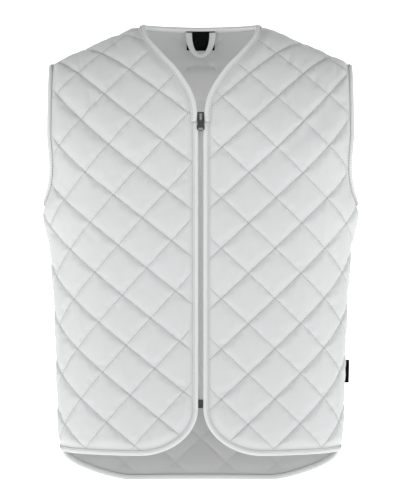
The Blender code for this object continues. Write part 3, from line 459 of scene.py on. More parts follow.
def cloth(side, across, down):
    """Point of the middle surface.

    A level section is a quarter superellipse walked by its length. Above, each place across falls
    from the shoulder line on a quarter ellipse, walked by its length too, and then hangs straight.
    """
    across = np.asarray(across, float)
    down = np.asarray(down, float)
    x, reach = section_place(side, across, down)
    ridge = ridge_height(x)
    arc = quarter_ellipse_length(reach, SHOULDER_HEIGHT)
    walked = np.maximum(down + ridge + arc - SHOULDER_HEIGHT, 0)
    angle = np.interp(np.clip(walked / arc, 0, 1), PROFILE_SHARE, ANGLES)
    y = side * reach * np.sin(angle)
    z = ridge - SHOULDER_HEIGHT * (1 - np.cos(angle)) - np.maximum(walked - arc, 0)
    return np.stack([np.sign(across) * x, y, z], axis=-1)


def cloth_normal(side, across, down):
    """Outward unit normal of the middle surface, from small steps towards the panel's inside."""
    step = 2e-4
    inward = np.where(np.asarray(across) >= 0, -step, step)
    here = cloth(side, across, down)
    along = (here - cloth(side, across + inward, down)) * np.sign(-inward)[..., None]
    fall = cloth(side, across, down + step) - here
    normal = np.cross(along, fall) * side
    return normal / np.linalg.norm(normal, axis=-1, keepdims=True)


def flat_place(side, x, z):
    """Cloth coordinates of the place seen at x, z from the front or back."""
    x = np.asarray(x, float)
    down = -np.asarray(z, float)
    for _ in range(FLAT_ROUNDS):
        width, depth = girth(side, down)
        share = np.interp(np.clip(np.abs(x) / width, 0, 1), SECTION_X, SECTION_SHARE)
        reach = depth * np.interp(share, SECTION_SHARE, SECTION_Y)
        ridge = ridge_height(x)
        arc = quarter_ellipse_length(reach, SHOULDER_HEIGHT)
        fallen = np.maximum(ridge - z, 0)
        angle = np.arccos(np.clip(1 - fallen / SHOULDER_HEIGHT, 0, 1))
        walked = arc * np.interp(angle, ANGLES, PROFILE_SHARE)
        walked = walked + np.maximum(fallen - SHOULDER_HEIGHT, 0)
        down = walked - ridge - arc + SHOULDER_HEIGHT
    across = np.sign(x) * share * quarter_section_length(width, depth)
    return across, down


def side_across(side, down):
    """Place across of the side seam at a level."""
    return quarter_section_length(*girth(side, down))


# Edges of the panels, as cloth coordinates on the +X half

def lengths(points):
    """Distance walked along a polyline to each of its points."""
    steps = np.linalg.norm(np.diff(points, axis=0), axis=1)
    return np.concatenate(([0.0], np.cumsum(steps)))


def points_along(points, walked, places):
    """Points at these distances along a polyline."""
    return np.stack([np.interp(places, walked, column) for column in points.T], axis=1)


def resample(points, spacing):
    """Points at even distances along a polyline, with both its ends."""
    points = np.asarray(points, float)
    walked = lengths(points)
    count = max(2, int(round(walked[-1] / spacing)) + 1)
    return points_along(points, walked, np.linspace(0, walked[-1], count))


def front_neck_edge():
    """Free edge of the V neck from the shoulder seam down to the slider's foot."""
    table = np.array(NECKLINE)
    rows = np.linspace(0, 1, NECK_POINTS)
    key = arc_table(table[:, 0] * NECK_HALF_WIDTH, table[:, 1] * NECK_DROP)
    x = SLIDER_HALF_GAP + (NECK_HALF_WIDTH - SLIDER_HALF_GAP) * smooth_interp(rows, key, table[:, 0])
    z = -NECK_DROP * smooth_interp(rows, key, table[:, 1])
    across, down = flat_place(FRONT, x, z)
    foot = np.array([[SLIDER_HALF_GAP, SLIDER_BOTTOM]])
    return resample(np.concatenate([np.stack([across, down], axis=1), foot]), STATION)


def back_neck_edge():
    """Free edge of the back neck from the middle to the shoulder seam."""
    x = np.linspace(0, NECK_HALF_WIDTH, CURVE_POINTS)
    z = BACK_NECK_RISE * (1 - (x / NECK_HALF_WIDTH) ** 2)
    across, down = flat_place(BACK, x, np.minimum(z, ridge_height(x)))
    return resample(np.stack([across, down], axis=1), FINE_STATION)


def zip_edge():
    """Free edge of the front from the slider's foot to the corner, narrowing below the slider."""
    ease = 4 * (SLIDER_HALF_GAP - ZIP_HALF_GAP) + GAP
    top = [SLIDER_HALF_GAP, SLIDER_BOTTOM]
    narrow = [ZIP_HALF_GAP, SLIDER_BOTTOM + ease]
    straight = resample([narrow, [ZIP_HALF_GAP, ZIP_BOTTOM]], STATION)
    return np.concatenate([[top], straight])


def front_hem_edge():
    """Free edge round the lower corner and along the front hem to the side seam."""
    angles = np.linspace(0, math.pi / 2, CORNER_POINTS)
    corner_x = ZIP_HALF_GAP + CORNER_WIDTH * (1 - np.cos(angles))
    corner_down = ZIP_BOTTOM + CORNER_HEIGHT * np.sin(angles)
    corner = resample(np.stack([corner_x, corner_down], axis=1), FINE_STATION)
    side_down = FRONT_LENGTH - SIDE_HEM_RISE
    share = np.linspace(0, 1, HEM_POINTS)
    start = corner[-1, 0]
    across = start + (side_across(FRONT, side_down) - start) * share
    down = FRONT_LENGTH - SIDE_HEM_RISE * share ** 2
    return np.concatenate([corner, resample(np.stack([across, down], axis=1), STATION)[1:]])


def tail_edge():
    """Free edge of the back hem from the middle to the side seam."""
    side_down = FRONT_LENGTH - SIDE_HEM_RISE
    end = side_across(BACK, side_down)
    across = np.linspace(0, end, CURVE_POINTS)
    rise = np.clip((across - TAIL_FLAT) / (end - TAIL_FLAT), 0, 1) ** TAIL_POWER
    down = FRONT_LENGTH + TAIL_DROP - (TAIL_DROP + SIDE_HEM_RISE) * rise
    return resample(np.stack([across, down], axis=1), STATION)


def armhole_edge(side):
    """Free edge of the armhole from the shoulder seam down to the side seam."""
    turn_level = ARMHOLE_DEPTH - ARMHOLE_CURVE_HEIGHT
    x = np.full(CORNER_POINTS, SHOULDER_HALF_WIDTH)
    tip = float(ridge_height(SHOULDER_HALF_WIDTH))
    z = np.linspace(tip, -turn_level, CORNER_POINTS)
    across, down = flat_place(side, x, z)
    open_end = side_across(side, down[-1]) - across[-1]
    angles = np.linspace(0, math.pi / 2, CORNER_POINTS)[1:]
    lower = down[-1] + (ARMHOLE_DEPTH - down[-1]) * np.sin(angles)
    lower_across = side_across(side, lower) - open_end * np.cos(angles) ** ARMHOLE_POWER
    upper = np.stack([across, down], axis=1)
    return resample(np.concatenate([upper, np.stack([lower_across, lower], axis=1)]), STATION)


def shoulder_direction(side, across):
    """Unit step along the shoulder seam, towards +across, in cloth coordinates."""
    x = np.array([across - 0.002, across + 0.002])
    places = np.stack(flat_place(side, x, ridge_height(x)), axis=1)
    step = places[1] - places[0]
    return step / np.linalg.norm(step)


def inward_steps(edge, first, last, flip):
    """Unit steps from a free edge into its panel.

    Between the ends they are square to the edge. The end ones follow the seam or line that the
    edge stops at, so that the tape's end lies in that seam's plane.
    """
    tangent = np.gradient(edge, axis=0)
    tangent /= np.linalg.norm(tangent, axis=1, keepdims=True)
    steps = np.stack([-tangent[:, 1], tangent[:, 0]], axis=1) * flip
    steps[0] = first
    steps[-1] = last
    return steps


class Edge:
    """A free edge with its inward steps, tape width and side of the body."""

    def __init__(self, side, edge, steps, width):
        self.side = side
        self.edge = np.asarray(edge)
        self.steps = np.asarray(steps)
        self.width = width

    def place(self, inset):
        return self.edge + self.steps * inset

    def mirrored(self):
        flip = np.array([-1.0, 1.0])
        return Edge(self.side, self.edge * flip, self.steps * flip, self.width)

    def reversed(self):
        return Edge(self.side, self.edge[::-1], self.steps[::-1], self.width)


def free_edges():
    """All free edges of the +X half, each from its upper or middle end."""
    down = np.array([0.0, 1.0])
    out = np.array([1.0, 0.0])
    neck = front_neck_edge()
    back_neck = back_neck_edge()
    front = np.concatenate([zip_edge(), front_hem_edge()[1:]])
    tail = tail_edge()
    edges = {
        "neck": Edge(FRONT, neck, inward_steps(
            neck, shoulder_direction(FRONT, NECK_HALF_WIDTH), out, -1), NECK_TAPE_WIDTH),
        "back_neck": Edge(BACK, back_neck, inward_steps(
            back_neck, down, shoulder_direction(BACK, NECK_HALF_WIDTH), 1), NECK_TAPE_WIDTH),
        "front": Edge(FRONT, front, inward_steps(front, out, -down, -1), FRONT_TAPE_WIDTH),
        "tail": Edge(BACK, tail, inward_steps(tail, -down, -down, -1), TAIL_TAPE_WIDTH),
    }
    for side, name in ((FRONT, "front_armhole"), (BACK, "back_armhole")):
        edge = armhole_edge(side)
        steps = inward_steps(edge, -shoulder_direction(side, SHOULDER_HALF_WIDTH), down, 1)
        edges[name] = Edge(side, edge, steps, ARMHOLE_TAPE_WIDTH)
    return edges


# Quilting

def turned(u, v, angle):
    """A pair of lengths on axes turned by this angle."""
    return u * math.cos(angle) - v * math.sin(angle), u * math.sin(angle) + v * math.cos(angle)


def quilt_lines(name, across, down):
    """The two counts of stitch lines at a place: whole numbers lie on a line."""
    _, base_across, base_level, turn = QUILT_GRIDS[name]
    u, v = turned(across - base_across * HALF_CHEST, down - base_level * FRONT_LENGTH, turn)
    return u / DIAMOND_WIDTH + v / DIAMOND_HEIGHT, u / DIAMOND_WIDTH - v / DIAMOND_HEIGHT


def quilt_place(name, first, second):
    """Cloth coordinates of a pair of line counts."""
    _, base_across, base_level, turn = QUILT_GRIDS[name]
    u = (first + second) / 2 * DIAMOND_WIDTH
    v = (first - second) / 2 * DIAMOND_HEIGHT
    across, down = turned(u, v, -turn)
    return across + base_across * HALF_CHEST, down + base_level * FRONT_LENGTH


def pillow(name, across, down):
    """Share of the padding's full height: 0 on the stitch lines, 1 in the middle of a diamond."""
    first, second = quilt_lines(name, across, down)
    wave = np.abs(np.sin(math.pi * first) * np.sin(math.pi * second))
    return wave ** PILLOW_POWER


def bump(u, v, turn, half_length, half_width):
    """A ridge along a line: a fourth power fall-off along it, a bell across it, 1 at its top."""
    run, off = turned(u, v, math.radians(turn))
    return np.exp(-(run / half_length) ** 4 - (off / half_width) ** 2)


def fold_height(side, across, down):
    """Height of the long folds at a place."""
    height = np.zeros_like(across)
    for fold_side, place, level, turn, half_length, half_width, share in FOLDS:
        if fold_side == side:
            height += share * OUTER_PUFF * bump(
                across - place * HALF_CHEST, down - level * FRONT_LENGTH, turn,
                half_length * HALF_CHEST, half_width * HALF_CHEST)
    return height


def distance_to_path(points, path):
    """Shortest distance from each point to a closed polyline."""
    starts = path
    ends = np.roll(path, -1, axis=0)
    run = ends - starts
    offset = points[:, None, :] - starts[None]
    share = np.clip((offset * run).sum(-1) / np.maximum((run * run).sum(-1), 1e-12), 0, 1)
    return np.linalg.norm(offset - share[..., None] * run, axis=-1).min(axis=1)


def inside_path(points, path):
    """True for each point inside a closed polyline, by counting crossings."""
    x, y = points[:, 0, None], points[:, 1, None]
    x1, y1 = path[:, 0], path[:, 1]
    x2, y2 = np.roll(x1, -1), np.roll(y1, -1)
    spans = (y1 > y) != (y2 > y)
    rise = np.where(y2 == y1, 1.0, y2 - y1)
    crossing = x < (x2 - x1) * (y - y1) / rise + x1
    return (spans & crossing).sum(axis=1) % 2 == 1


def seam_points(side):
    """Places down the side seam between the edge tapes."""
    top = ARMHOLE_DEPTH + 2 * ARMHOLE_TAPE_WIDTH
    bottom = FRONT_LENGTH - 2 * max(FRONT_TAPE_WIDTH, TAIL_TAPE_WIDTH)
    down = resample([[0, top], [0, bottom]], STATION)[:, 1]
    return np.stack([side_across(side, down), down], axis=1)


def shoulder_points(side):
    """Places along the shoulder seam between the edge tapes, from the neck outwards."""
    start = NECK_HALF_WIDTH + 2 * NECK_TAPE_WIDTH
    end = SHOULDER_HALF_WIDTH - 2 * ARMHOLE_TAPE_WIDTH
    x = resample([[start, 0], [end, 0]], STATION)[:, 0]
    return np.stack(flat_place(side, x, ridge_height(x)), axis=1)


def below_ridge(side, across, down):
    """Distance along the cloth below the shoulder line."""
    x, reach = section_place(side, across, down)
    return down + ridge_height(x) + quarter_ellipse_length(reach, SHOULDER_HEIGHT) - SHOULDER_HEIGHT


def snapped(places, side, margin):
    """Moves places that lie on a seam to this margin inside it."""
    places = np.array(places, float)
    across, down = places[:, 0], places[:, 1]
    limit = side_across(side, down)
    on_side = (down > ARMHOLE_DEPTH - NEAR_SEAM) & (np.abs(across) > limit - NEAR_SEAM)
    places[:, 0] = np.where(on_side, np.sign(across) * (limit - margin), across)
    walked = below_ridge(side, across, down)
    on_shoulder = (walked < NEAR_SEAM) & (down < ARMHOLE_DEPTH / 2)
    on_shoulder &= np.abs(across) > NECK_HALF_WIDTH - 2 * PANEL_INSET
    places[:, 1] = np.where(on_shoulder, down - walked + margin, down)
    return places


def inset_edge(edge, padded):
    """A free edge moved in: the padding starts where the tape ends, the cloth inside its fold."""
    return edge.place(edge.width + GAP if padded else PANEL_INSET)


def front_outline(edges, padded):
    """Closed outline of the +X front panel, or of its padded area."""
    neck, front, arm = [inset_edge(edges[key], padded) for key in ("neck", "front", "front_armhole")]
    parts = [neck[:-1], front, seam_points(FRONT)[::-1], arm[::-1], shoulder_points(FRONT)[::-1]]
    return snapped(np.concatenate(parts), FRONT, SEAM_ALLOWANCE if padded else 0.0)


def back_outline(edges, padded):
    """Closed outline of the back panel, both halves, or of its padded area."""
    neck, arm, tail = [inset_edge(edges[key], padded) for key in ("back_neck", "back_armhole", "tail")]
    parts = [neck, shoulder_points(BACK), arm, seam_points(BACK), tail[::-1]]
    half = snapped(np.concatenate(parts), BACK, SEAM_ALLOWANCE if padded else 0.0)
    return np.concatenate([half, half[-2:0:-1] * np.array([-1.0, 1.0])])


def grid_places(name, outline, cells, clearance):
    """Points of the quilt grid inside the padded area, this many cells along each diamond's side.

    The cells are narrower beside the stitch lines: their ends are a blend of even steps and a
    cosine's steps, and mirror about the middle of the diamond.
    """
    reach = int(math.ceil(2.2 * (FRONT_LENGTH + TAIL_DROP) / min(DIAMOND_WIDTH, DIAMOND_HEIGHT)))
    even = np.arange(cells) / cells
    shares = (1 - CREASE_CROWDING) * even + CREASE_CROWDING * (1 - np.cos(math.pi * even)) / 2
    counts = (np.arange(-reach, reach + 1)[:, None] + shares[None]).ravel()
    first, second = np.meshgrid(counts, counts)
    places = np.stack(quilt_place(name, first.ravel(), second.ravel()), axis=1)
    low = outline.min(axis=0)
    high = outline.max(axis=0)
    places = places[((places > low) & (places < high)).all(axis=1)]
    places = places[inside_path(places, outline)]
    return places[distance_to_path(places, outline) > clearance]


def skin(outline, places):
    """Triangles over one face of a panel, through its outline and the points inside it."""
    points = np.concatenate([outline, places])
    count = len(outline)
    links = [(i, (i + 1) % count) for i in range(count)]
    result = delaunay_2d_cdt([Vector(p) for p in points], links, [], 1, 1e-7)
    verts, faces = result[0], result[2]
    if len(verts) != len(points):
        raise ValueError("two points of a panel fall on each other")
    return points, np.array(faces)


def rim_places(outline, ring, spacing):
    """Points on the padded area's rim, kept apart from the outline and from each other."""
    ring = resample(np.concatenate([ring, ring[:1]]), spacing)[:-1]
    clear = inside_path(ring, outline) & (distance_to_path(ring, outline) > spacing / 2)
    return ring[clear]


# Meshes

def new_object(name, points, face_sets, uv=None, material_of=None):
    """A smooth mesh object from arrays: points (n, 3), and sets of faces with equal corner counts.

    uv holds one pair of cloth coordinates per point, and material_of one slot number per face.
    """
    mesh = bpy.data.meshes.new(name)
    mesh.vertices.add(len(points))
    mesh.vertices.foreach_set("co", np.ascontiguousarray(points, dtype=np.float32).ravel())
    corners = np.concatenate([np.asarray(faces).ravel() for faces in face_sets])
    sizes = np.concatenate([np.full(len(faces), np.shape(faces)[1]) for faces in face_sets])
    starts = np.concatenate([[0], np.cumsum(sizes)[:-1]])
    mesh.loops.add(len(corners))
    mesh.loops.foreach_set("vertex_index", corners.astype(np.int32))
    mesh.polygons.add(len(sizes))
    mesh.polygons.foreach_set("loop_start", starts.astype(np.int32))
    if material_of is not None:
        mesh.polygons.foreach_set("material_index", np.asarray(material_of, np.int32))
    if uv is not None:
        layer = mesh.uv_layers.new(name="cloth")
        layer.data.foreach_set("uv", np.asarray(uv, np.float32)[corners].ravel())
    mesh.update(calc_edges=True)
    mesh.validate()
    mesh.shade_smooth()
    part = bpy.data.objects.new(name, mesh)
    bpy.context.scene.collection.objects.link(part)
    return part


def grid_faces(rows, columns, close_rows=False, close_columns=False):
    """Quads of a grid of points in rows, joined round where asked."""
    i = np.arange(rows if close_rows else rows - 1)
    j = np.arange(columns if close_columns else columns - 1)
    i, j = np.meshgrid(i, j, indexing="ij")
    i, j = i.ravel(), j.ravel()
    k = (i + 1) % rows
    m = (j + 1) % columns
    return np.stack([i * columns + j, i * columns + m, k * columns + m, k * columns + j], axis=1)


def turn_outwards(part):
    """Makes the faces of a closed piece point outwards."""
    work = bmesh.new()
    work.from_mesh(part.data)
    bmesh.ops.recalc_face_normals(work, faces=work.faces)
    work.to_mesh(part.data)
    work.free()


def ripple(places, pitch, seed):
    """Smooth random height between -1 and 1 that varies over about one pitch.

    It is a sum of sine waves of random direction and phase, with wavelengths near the pitch.
    """
    random = np.random.default_rng(seed)
    height = np.zeros(len(places))
    for _ in range(RIPPLE_WAVES):
        angle = random.uniform(0, math.pi)
        wave = 2 * math.pi / (pitch * random.uniform(0.7, 1.6))
        phase = random.uniform(0, 2 * math.pi)
        height += np.sin((places[:, 0] * math.cos(angle) + places[:, 1] * math.sin(angle)) * wave + phase)
    return height / RIPPLE_SCALE


def level_on_seams(normal, on_seam):
    """Normals whose forward part is taken away on a seam, so that both sides of it meet."""
    normal[on_seam, 1] = 0
    return normal / np.linalg.norm(normal, axis=1, keepdims=True)


# Quilted panels

def quilt_relief(name, across, down):
    """Share of the padding's full height: lowest on the stitch lines, 1 in a diamond's middle.

    Along each count it is t to one power times (1 - t) to another, as a share of its highest value,
    where t is how far the place is from one stitch line to the next, and it is lifted by what is
    left on the line. The two are multiplied.
    """
    relief = 1.0
    for count, (rise, fall, left) in zip(quilt_lines(name, across, down), VALLEYS[name]):
        t = count - np.floor(count)
        t = np.where((t < TOUCHING) | (t > 1 - TOUCHING), 0.0, t)
        peak = rise / (rise + fall)
        wave = (t ** rise * (1 - t) ** fall) / (peak ** rise * (1 - peak) ** fall)
        relief = relief * (left + (1 - left) * wave)
    return relief


def surface_places(name, points, ring, face):
    """Points of a panel's outer (face 1) or inner (face -1) skin, before the cloth settles.

    Each is the middle surface moved along its normal by the sewn half thickness, the padding and
    the long folds. The padding fades to nothing at the padded area's rim.
    """
    side = QUILT_GRIDS[name][0]
    across, down = points[:, 0], points[:, 1]
    depth = np.concatenate([distance_to_path(block, ring) for block in np.array_split(points, 24)])
    inside = np.concatenate([inside_path(block, ring) for block in np.array_split(points, 24)])
    fade = smoothstep(depth / PUFF_EDGE) * (inside | (depth < TOUCHING))
    puff = OUTER_PUFF if face > 0 else INNER_PUFF
    relief = quilt_relief(name, across, down) if face > 0 else pillow(name, across, down)
    height = HALF_SEWN + puff * relief * fade
    if face < 0 and side == BACK:
        height = height + lining_height(across, down)
    middle = cloth(side, across, down)
    on_seam = np.abs(middle[:, 1]) < SEAM_GAP
    normal = level_on_seams(cloth_normal(side, across, down), on_seam)
    offset = face * height + (fold_height(side, across, down)
                              + worn_height(side, across, down)) * fade
    surface = middle + normal * offset[:, None]
    surface[on_seam, 1] = side * SEAM_GAP / 2
    return surface, normal, fade


def lining_height(across, down):
    """How far the lining of the back stands in below its crease.

    It is a smooth step at the crease, times a slow return to nothing downwards and sideways.
    """
    step = smoothstep((down - LINING_CREASE_LEVEL) / LINING_CREASE_WIDTH)
    back = 1 - smoothstep((down - LINING_CREASE_LEVEL) / LINING_CREASE_FADE)
    reach = 1 - smoothstep((np.abs(across) - LINING_CREASE_REACH / 2) / LINING_CREASE_REACH)
    return LINING_CREASE_DEPTH * step * back * reach


def worn_height(side, across, down):
    """Height of the wrinkles that the worn cloth has across the diamonds."""
    height = np.zeros_like(across)
    for wrinkle_side, x, seen_level, turn, half_length, half_width, rise in WRINKLES:
        if wrinkle_side == side:
            place, level = flat_place(side, x, -seen_level)
            height += rise * bump(across - place, down - level, turn, half_length, half_width)
    return height


def settle(part, held, look):
    """Lets the padded cloth puff out between its stitch lines, and returns the moved points.

    The mesh is simulated at ten times its size, without gravity, under a steady pressure. The
    cloth is cut a little larger than its place, so that it puckers along the held lines.
    """
    scale = SIMULATION_SCALE
    mesh = part.data
    count = len(mesh.vertices)
    rest = np.empty(count * 3, np.float32)
    mesh.vertices.foreach_get("co", rest)
    mesh.vertices.foreach_set("co", rest * scale)
    group = part.vertex_groups.new(name="stitched")
    group.add(np.flatnonzero(held).tolist(), 1.0, "REPLACE")
    modifier = part.modifiers.new("settle", "CLOTH")
    settings = modifier.settings
    settings.quality = look.cloth_quality
    settings.mass = CLOTH_POINT_MASS
    settings.tension_stiffness = CLOTH_TENSION
    settings.compression_stiffness = CLOTH_TENSION
    settings.shear_stiffness = CLOTH_SHEAR
    settings.bending_stiffness = CLOTH_BENDING
    settings.vertex_group_mass = group.name
    settings.use_pressure = True
    settings.uniform_pressure_force = look.cloth_pressure
    settings.shrink_min = -look.cloth_excess
    settings.effector_weights.gravity = 0.0
    modifier.collision_settings.use_collision = False
    modifier.collision_settings.use_self_collision = False
    modifier.point_cache.frame_start = 1
    modifier.point_cache.frame_end = CLOTH_FRAMES
    scene = bpy.context.scene
    for number in range(1, CLOTH_FRAMES + 1):
        scene.frame_set(number)
    moved = part.evaluated_get(bpy.context.evaluated_depsgraph_get()).data
    settled = np.empty(count * 3, np.float32)
    moved.vertices.foreach_get("co", settled)
    part.modifiers.remove(modifier)
    part.vertex_groups.remove(group)
    scene.frame_set(1)
    mesh.vertices.foreach_set("co", rest)
    mesh.update()
    return settled.reshape(-1, 3) / scale, rest.reshape(-1, 3)


def settled_skin(name, outer, faces, start, normal, fade, look):
    """The outer skin's points after the cloth has settled, no further than its reach allows."""
    counts = np.stack(quilt_lines(name, outer[:, 0], outer[:, 1]))
    on_line = (np.abs(counts - np.round(counts)) < 1e-3).any(axis=0)
    held = on_line | (fade < 0.02)
    uneven = ripple(outer, look.wrinkle_pitch, len(name) + int(start[0, 0] > 0))
    begin = start + normal * (uneven * fade * ~held * look.wrinkle_height / 3)[:, None]
    trial = new_object(name + "_trial", begin, [faces])
    settled, rest = settle(trial, held, look)
    bpy.data.meshes.remove(trial.data)
    step = settled - rest
    length = np.linalg.norm(step, axis=1, keepdims=True)
    share = look.cloth_reach * np.tanh(length / look.cloth_reach) / np.maximum(length, 1e-9)
    return rest + step * share * fade[:, None]


def make_panel(name, outline, ring, look):
    """A closed padded wall: a fine outer skin that has settled, a coarser inner skin and a rim."""
    cells = look.cells
    clearance = RIM_CLEARANCE * DIAMOND_WIDTH / cells
    rim = rim_places(outline, ring, DIAMOND_WIDTH / 2 / cells)
    outer, outer_faces = skin(outline, np.concatenate([rim, grid_places(name, ring, cells, clearance)]))
    inner, inner_faces = skin(
        outline, np.concatenate([rim[::2], grid_places(name, ring, cells * 2 // 3, clearance)]))
    start, normal, fade = surface_places(name, outer, ring, 1)
    flip = face_turn(start, outer_faces, normal)
    outer_faces = outer_faces[:, ::flip]
    inner_faces = inner_faces[:, ::-flip]
    start = settled_skin(name, outer, outer_faces, start, normal, fade, look)
    inner_surface, _, _ = surface_places(name, inner, ring, -1)
    count = len(outer)
    edge = np.arange(len(outline))
    after = (edge + 1) % len(outline)
    rim_faces = np.stack([edge, after, count + after, count + edge], axis=1)[:, ::-flip]
    part = new_object(
        name.replace("panel", "quilt"),
        np.concatenate([start, inner_surface]),
        [outer_faces, inner_faces + count, rim_faces],
        uv=np.concatenate([outer, inner]),
        material_of=np.concatenate([
            np.zeros(len(outer_faces)), np.ones(len(inner_faces)), np.zeros(len(rim_faces))]),
    )
    turn_outwards(part)
    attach(part, "gilet")
    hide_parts(name)


def face_turn(points, faces, normal):
    """1 where most faces already point outwards, -1 where they have to be turned."""
    a, b, c = points[faces[:, 0]], points[faces[:, 1]], points[faces[:, 2]]
    facing = np.einsum("ij,ij->i", np.cross(b - a, c - a), normal[faces[:, 0]])
    return 1 if (facing > 0).mean() > 0.5 else -1


# Edge tape

def rounded_tape_profile(width):
    """Fine U section round the cloth's edge: (distance in from the edge, height) pairs.

    The fold is a half ellipse, the outer faces dip at the row of stitches near the tape's inner
    edge, and the inner faces run back beside the cloth.
    """
    turn = np.linspace(math.pi / 2, 3 * math.pi / 2, TAPE_FACE_POINTS)
    fold_in = TAPE_FOLD * (1 + np.cos(turn))
    fold_out = TAPE_OUTER * np.sin(turn)
    share = np.linspace(0, 1, TAPE_FACE_POINTS)[1:]
    reach = TAPE_FOLD + (width - TAPE_FOLD) * share
    stitch_at = width - TAPE_STITCH_INSET
    dip = TAPE_STITCH_DIP * np.exp(-((reach - stitch_at) / TAPE_STITCH_SPREAD) ** 2)
    swell = TAPE_SWELL * np.sin(math.pi * np.clip((reach - TAPE_FOLD) / (stitch_at - TAPE_FOLD), 0, 1))
    rise = TAPE_OUTER - dip + swell
    upper = np.stack([reach, rise], axis=1)
    inner_in = [width, TAPE_WALL, TAPE_WALL, width]
    inner_rise = [TAPE_INNER, TAPE_INNER, -TAPE_INNER, -TAPE_INNER]
    top = upper[::-1]
    fold = np.stack([fold_in, fold_out], axis=1)
    bottom = upper * np.array([1, -1])
    inside = np.stack([inner_in, inner_rise], axis=1)[::-1]
    return np.concatenate([top, fold, bottom, inside])


def tape_rows(edge, look, seed):
    """Sections of the tape in space, its faces a little uneven along the edge."""
    profile = rounded_tape_profile(edge.width)
    walked = lengths(edge.edge)
    uneven = ripple(np.stack([walked, walked * 0], axis=1), look.tape_pucker_pitch, seed)
    rows = []
    for inset, height in profile:
        place = snapped(edge.place(inset), edge.side, 0.0)
        middle = cloth(edge.side, place[:, 0], place[:, 1])
        normal = level_on_seams(cloth_normal(edge.side, place[:, 0], place[:, 1]),
                                np.abs(middle[:, 1]) < 10 * TOUCHING)
        lift = np.sign(height) * look.tape_pucker * uneven * (abs(height) > TAPE_INNER)
        rows.append(middle + normal * (height + lift)[:, None])
    return np.stack(rows, axis=1), walked


def make_tape(name, parts, node, look, closed=False):
    """One tape along edges that follow each other, as a swept solid with capped ends."""
    rows = []
    walked = []
    total = 0.0
    for number, edge in enumerate(parts):
        sections, length = tape_rows(edge, look, 7 * number + len(name))
        skip = 0 if number == 0 else 1
        stop = -1 if closed and number == len(parts) - 1 else None
        rows.append(sections[skip:stop])
        walked.append(total + length[skip:stop])
        total += length[-1]
    sections = np.concatenate(rows)
    walked = np.concatenate(walked)
    stations, count = sections.shape[:2]
    faces = [grid_faces(stations, count, close_rows=closed, close_columns=True)]
    if not closed:
        end = np.arange(count)
        faces += [end[::-1][None], ((stations - 1) * count + end)[None]]
    around = lengths(rounded_tape_profile(parts[0].width))
    uv = np.stack(np.broadcast_arrays(walked[:, None], around[None]), axis=-1).reshape(-1, 2)
    part = new_object(name, sections.reshape(-1, 3), faces, uv=uv)
    turn_outwards(part)
    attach(part, "gilet")
    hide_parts(node)


# Stitches

def stitch_shapes(starts, ends, normals, radius, lift):
    """Small thread loops, one from each start to its end, as arrays of points and faces.

    Each is three five-sided rings on an arched line, with both tips sunk into the cloth.
    """
    sides = 5
    along = ends - starts
    length = np.linalg.norm(along, axis=1, keepdims=True)
    along = along / np.maximum(length, 1e-9)
    across = np.cross(along, normals)
    across /= np.linalg.norm(across, axis=1, keepdims=True)
    up = np.cross(across, along)
    points = [starts - up * radius]
    angle = 2 * math.pi * np.arange(sides) / sides
    for share, height, size in ((0.14, 0.35, 0.75), (0.5, 1.0, 1.0), (0.86, 0.35, 0.75)):
        centre = starts + along * length * share + up * (lift * height)
        for a in angle:
            points.append(centre + (across * math.cos(a) + up * math.sin(a)) * radius * size)
    points.append(ends - up * radius)
    points = np.stack(points, axis=1)
    ring = np.arange(sides)
    after = (ring + 1) % sides
    last = 1 + 3 * sides
    caps = [np.stack([np.zeros(sides, int), 1 + after, 1 + ring], axis=1)]
    caps.append(np.stack([np.full(sides, last), last - sides + ring, last - sides + after], axis=1))
    walls = []
    for level in (0, 1):
        low = 1 + level * sides
        walls.append(np.stack([low + ring, low + after, low + sides + after, low + sides + ring], axis=1))
    base = (np.arange(len(starts)) * (last + 1))[:, None, None]
    triangles = (np.concatenate(caps)[None] + base).reshape(-1, 3)
    quads = (np.concatenate(walls)[None] + base).reshape(-1, 4)
    return points.reshape(-1, 3), [triangles, quads]


def joined(shapes):
    """Several sets of points and faces as one."""
    points = []
    faces = []
    total = 0
    for some_points, some_faces in shapes:
        points.append(some_points)
        faces += [group + total for group in some_faces]
        total += len(some_points)
    return np.concatenate(points), faces


def row_places(path, pitch, length):
    """Starts and ends of stitches along a polyline of cloth coordinates."""
    walked = lengths(path)
    starts = np.arange(pitch / 2, walked[-1] - length, pitch)
    return points_along(path, walked, starts), points_along(path, walked, starts + length)


def quilt_rows(name, ring, pitch, length):
    """Starts and ends of the stitches on both sets of quilt lines, inside the padded area."""
    low, high = ring.min(axis=0), ring.max(axis=0)
    corners = np.array([[low[0], low[1]], [low[0], high[1]], [high[0], low[1]], [high[0], high[1]]])
    counts = np.stack(quilt_lines(name, corners[:, 0], corners[:, 1]), axis=1)
    least, most = counts.min(axis=0), counts.max(axis=0)
    starts = []
    ends = []
    for family in (0, 1):
        run = np.array([least[1 - family], most[1 - family]])
        for number in range(math.ceil(least[family]), math.floor(most[family]) + 1):
            fixed = np.full(2, float(number))
            first, second = (fixed, run) if family == 0 else (run, fixed)
            line = np.stack(quilt_place(name, first, second), axis=1)
            a, b = row_places(line, pitch, length)
            starts.append(a)
            ends.append(b)
    starts, ends = np.concatenate(starts), np.concatenate(ends)
    middle = (starts + ends) / 2
    inside = inside_path(middle, ring) & (distance_to_path(middle, ring) > length)
    return starts[inside], ends[inside]


def make_quilt_stitches(name, ring, look):
    """The thread that shows on a panel's outer skin, near black as painted shade of the needle holes."""
    starts, ends = quilt_rows(name, ring, look.stitch_pitch, look.stitch_length)
    first, normal, _ = surface_places(name, starts, ring, 1)
    second, _, _ = surface_places(name, ends, ring, 1)
    radius = look.thread_diameter / 2
    points, faces = stitch_shapes(first, second, normal, radius, radius * 1.2)
    part = new_object(name.replace("panel", "stitches"), points, faces)
    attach(part, "gilet")


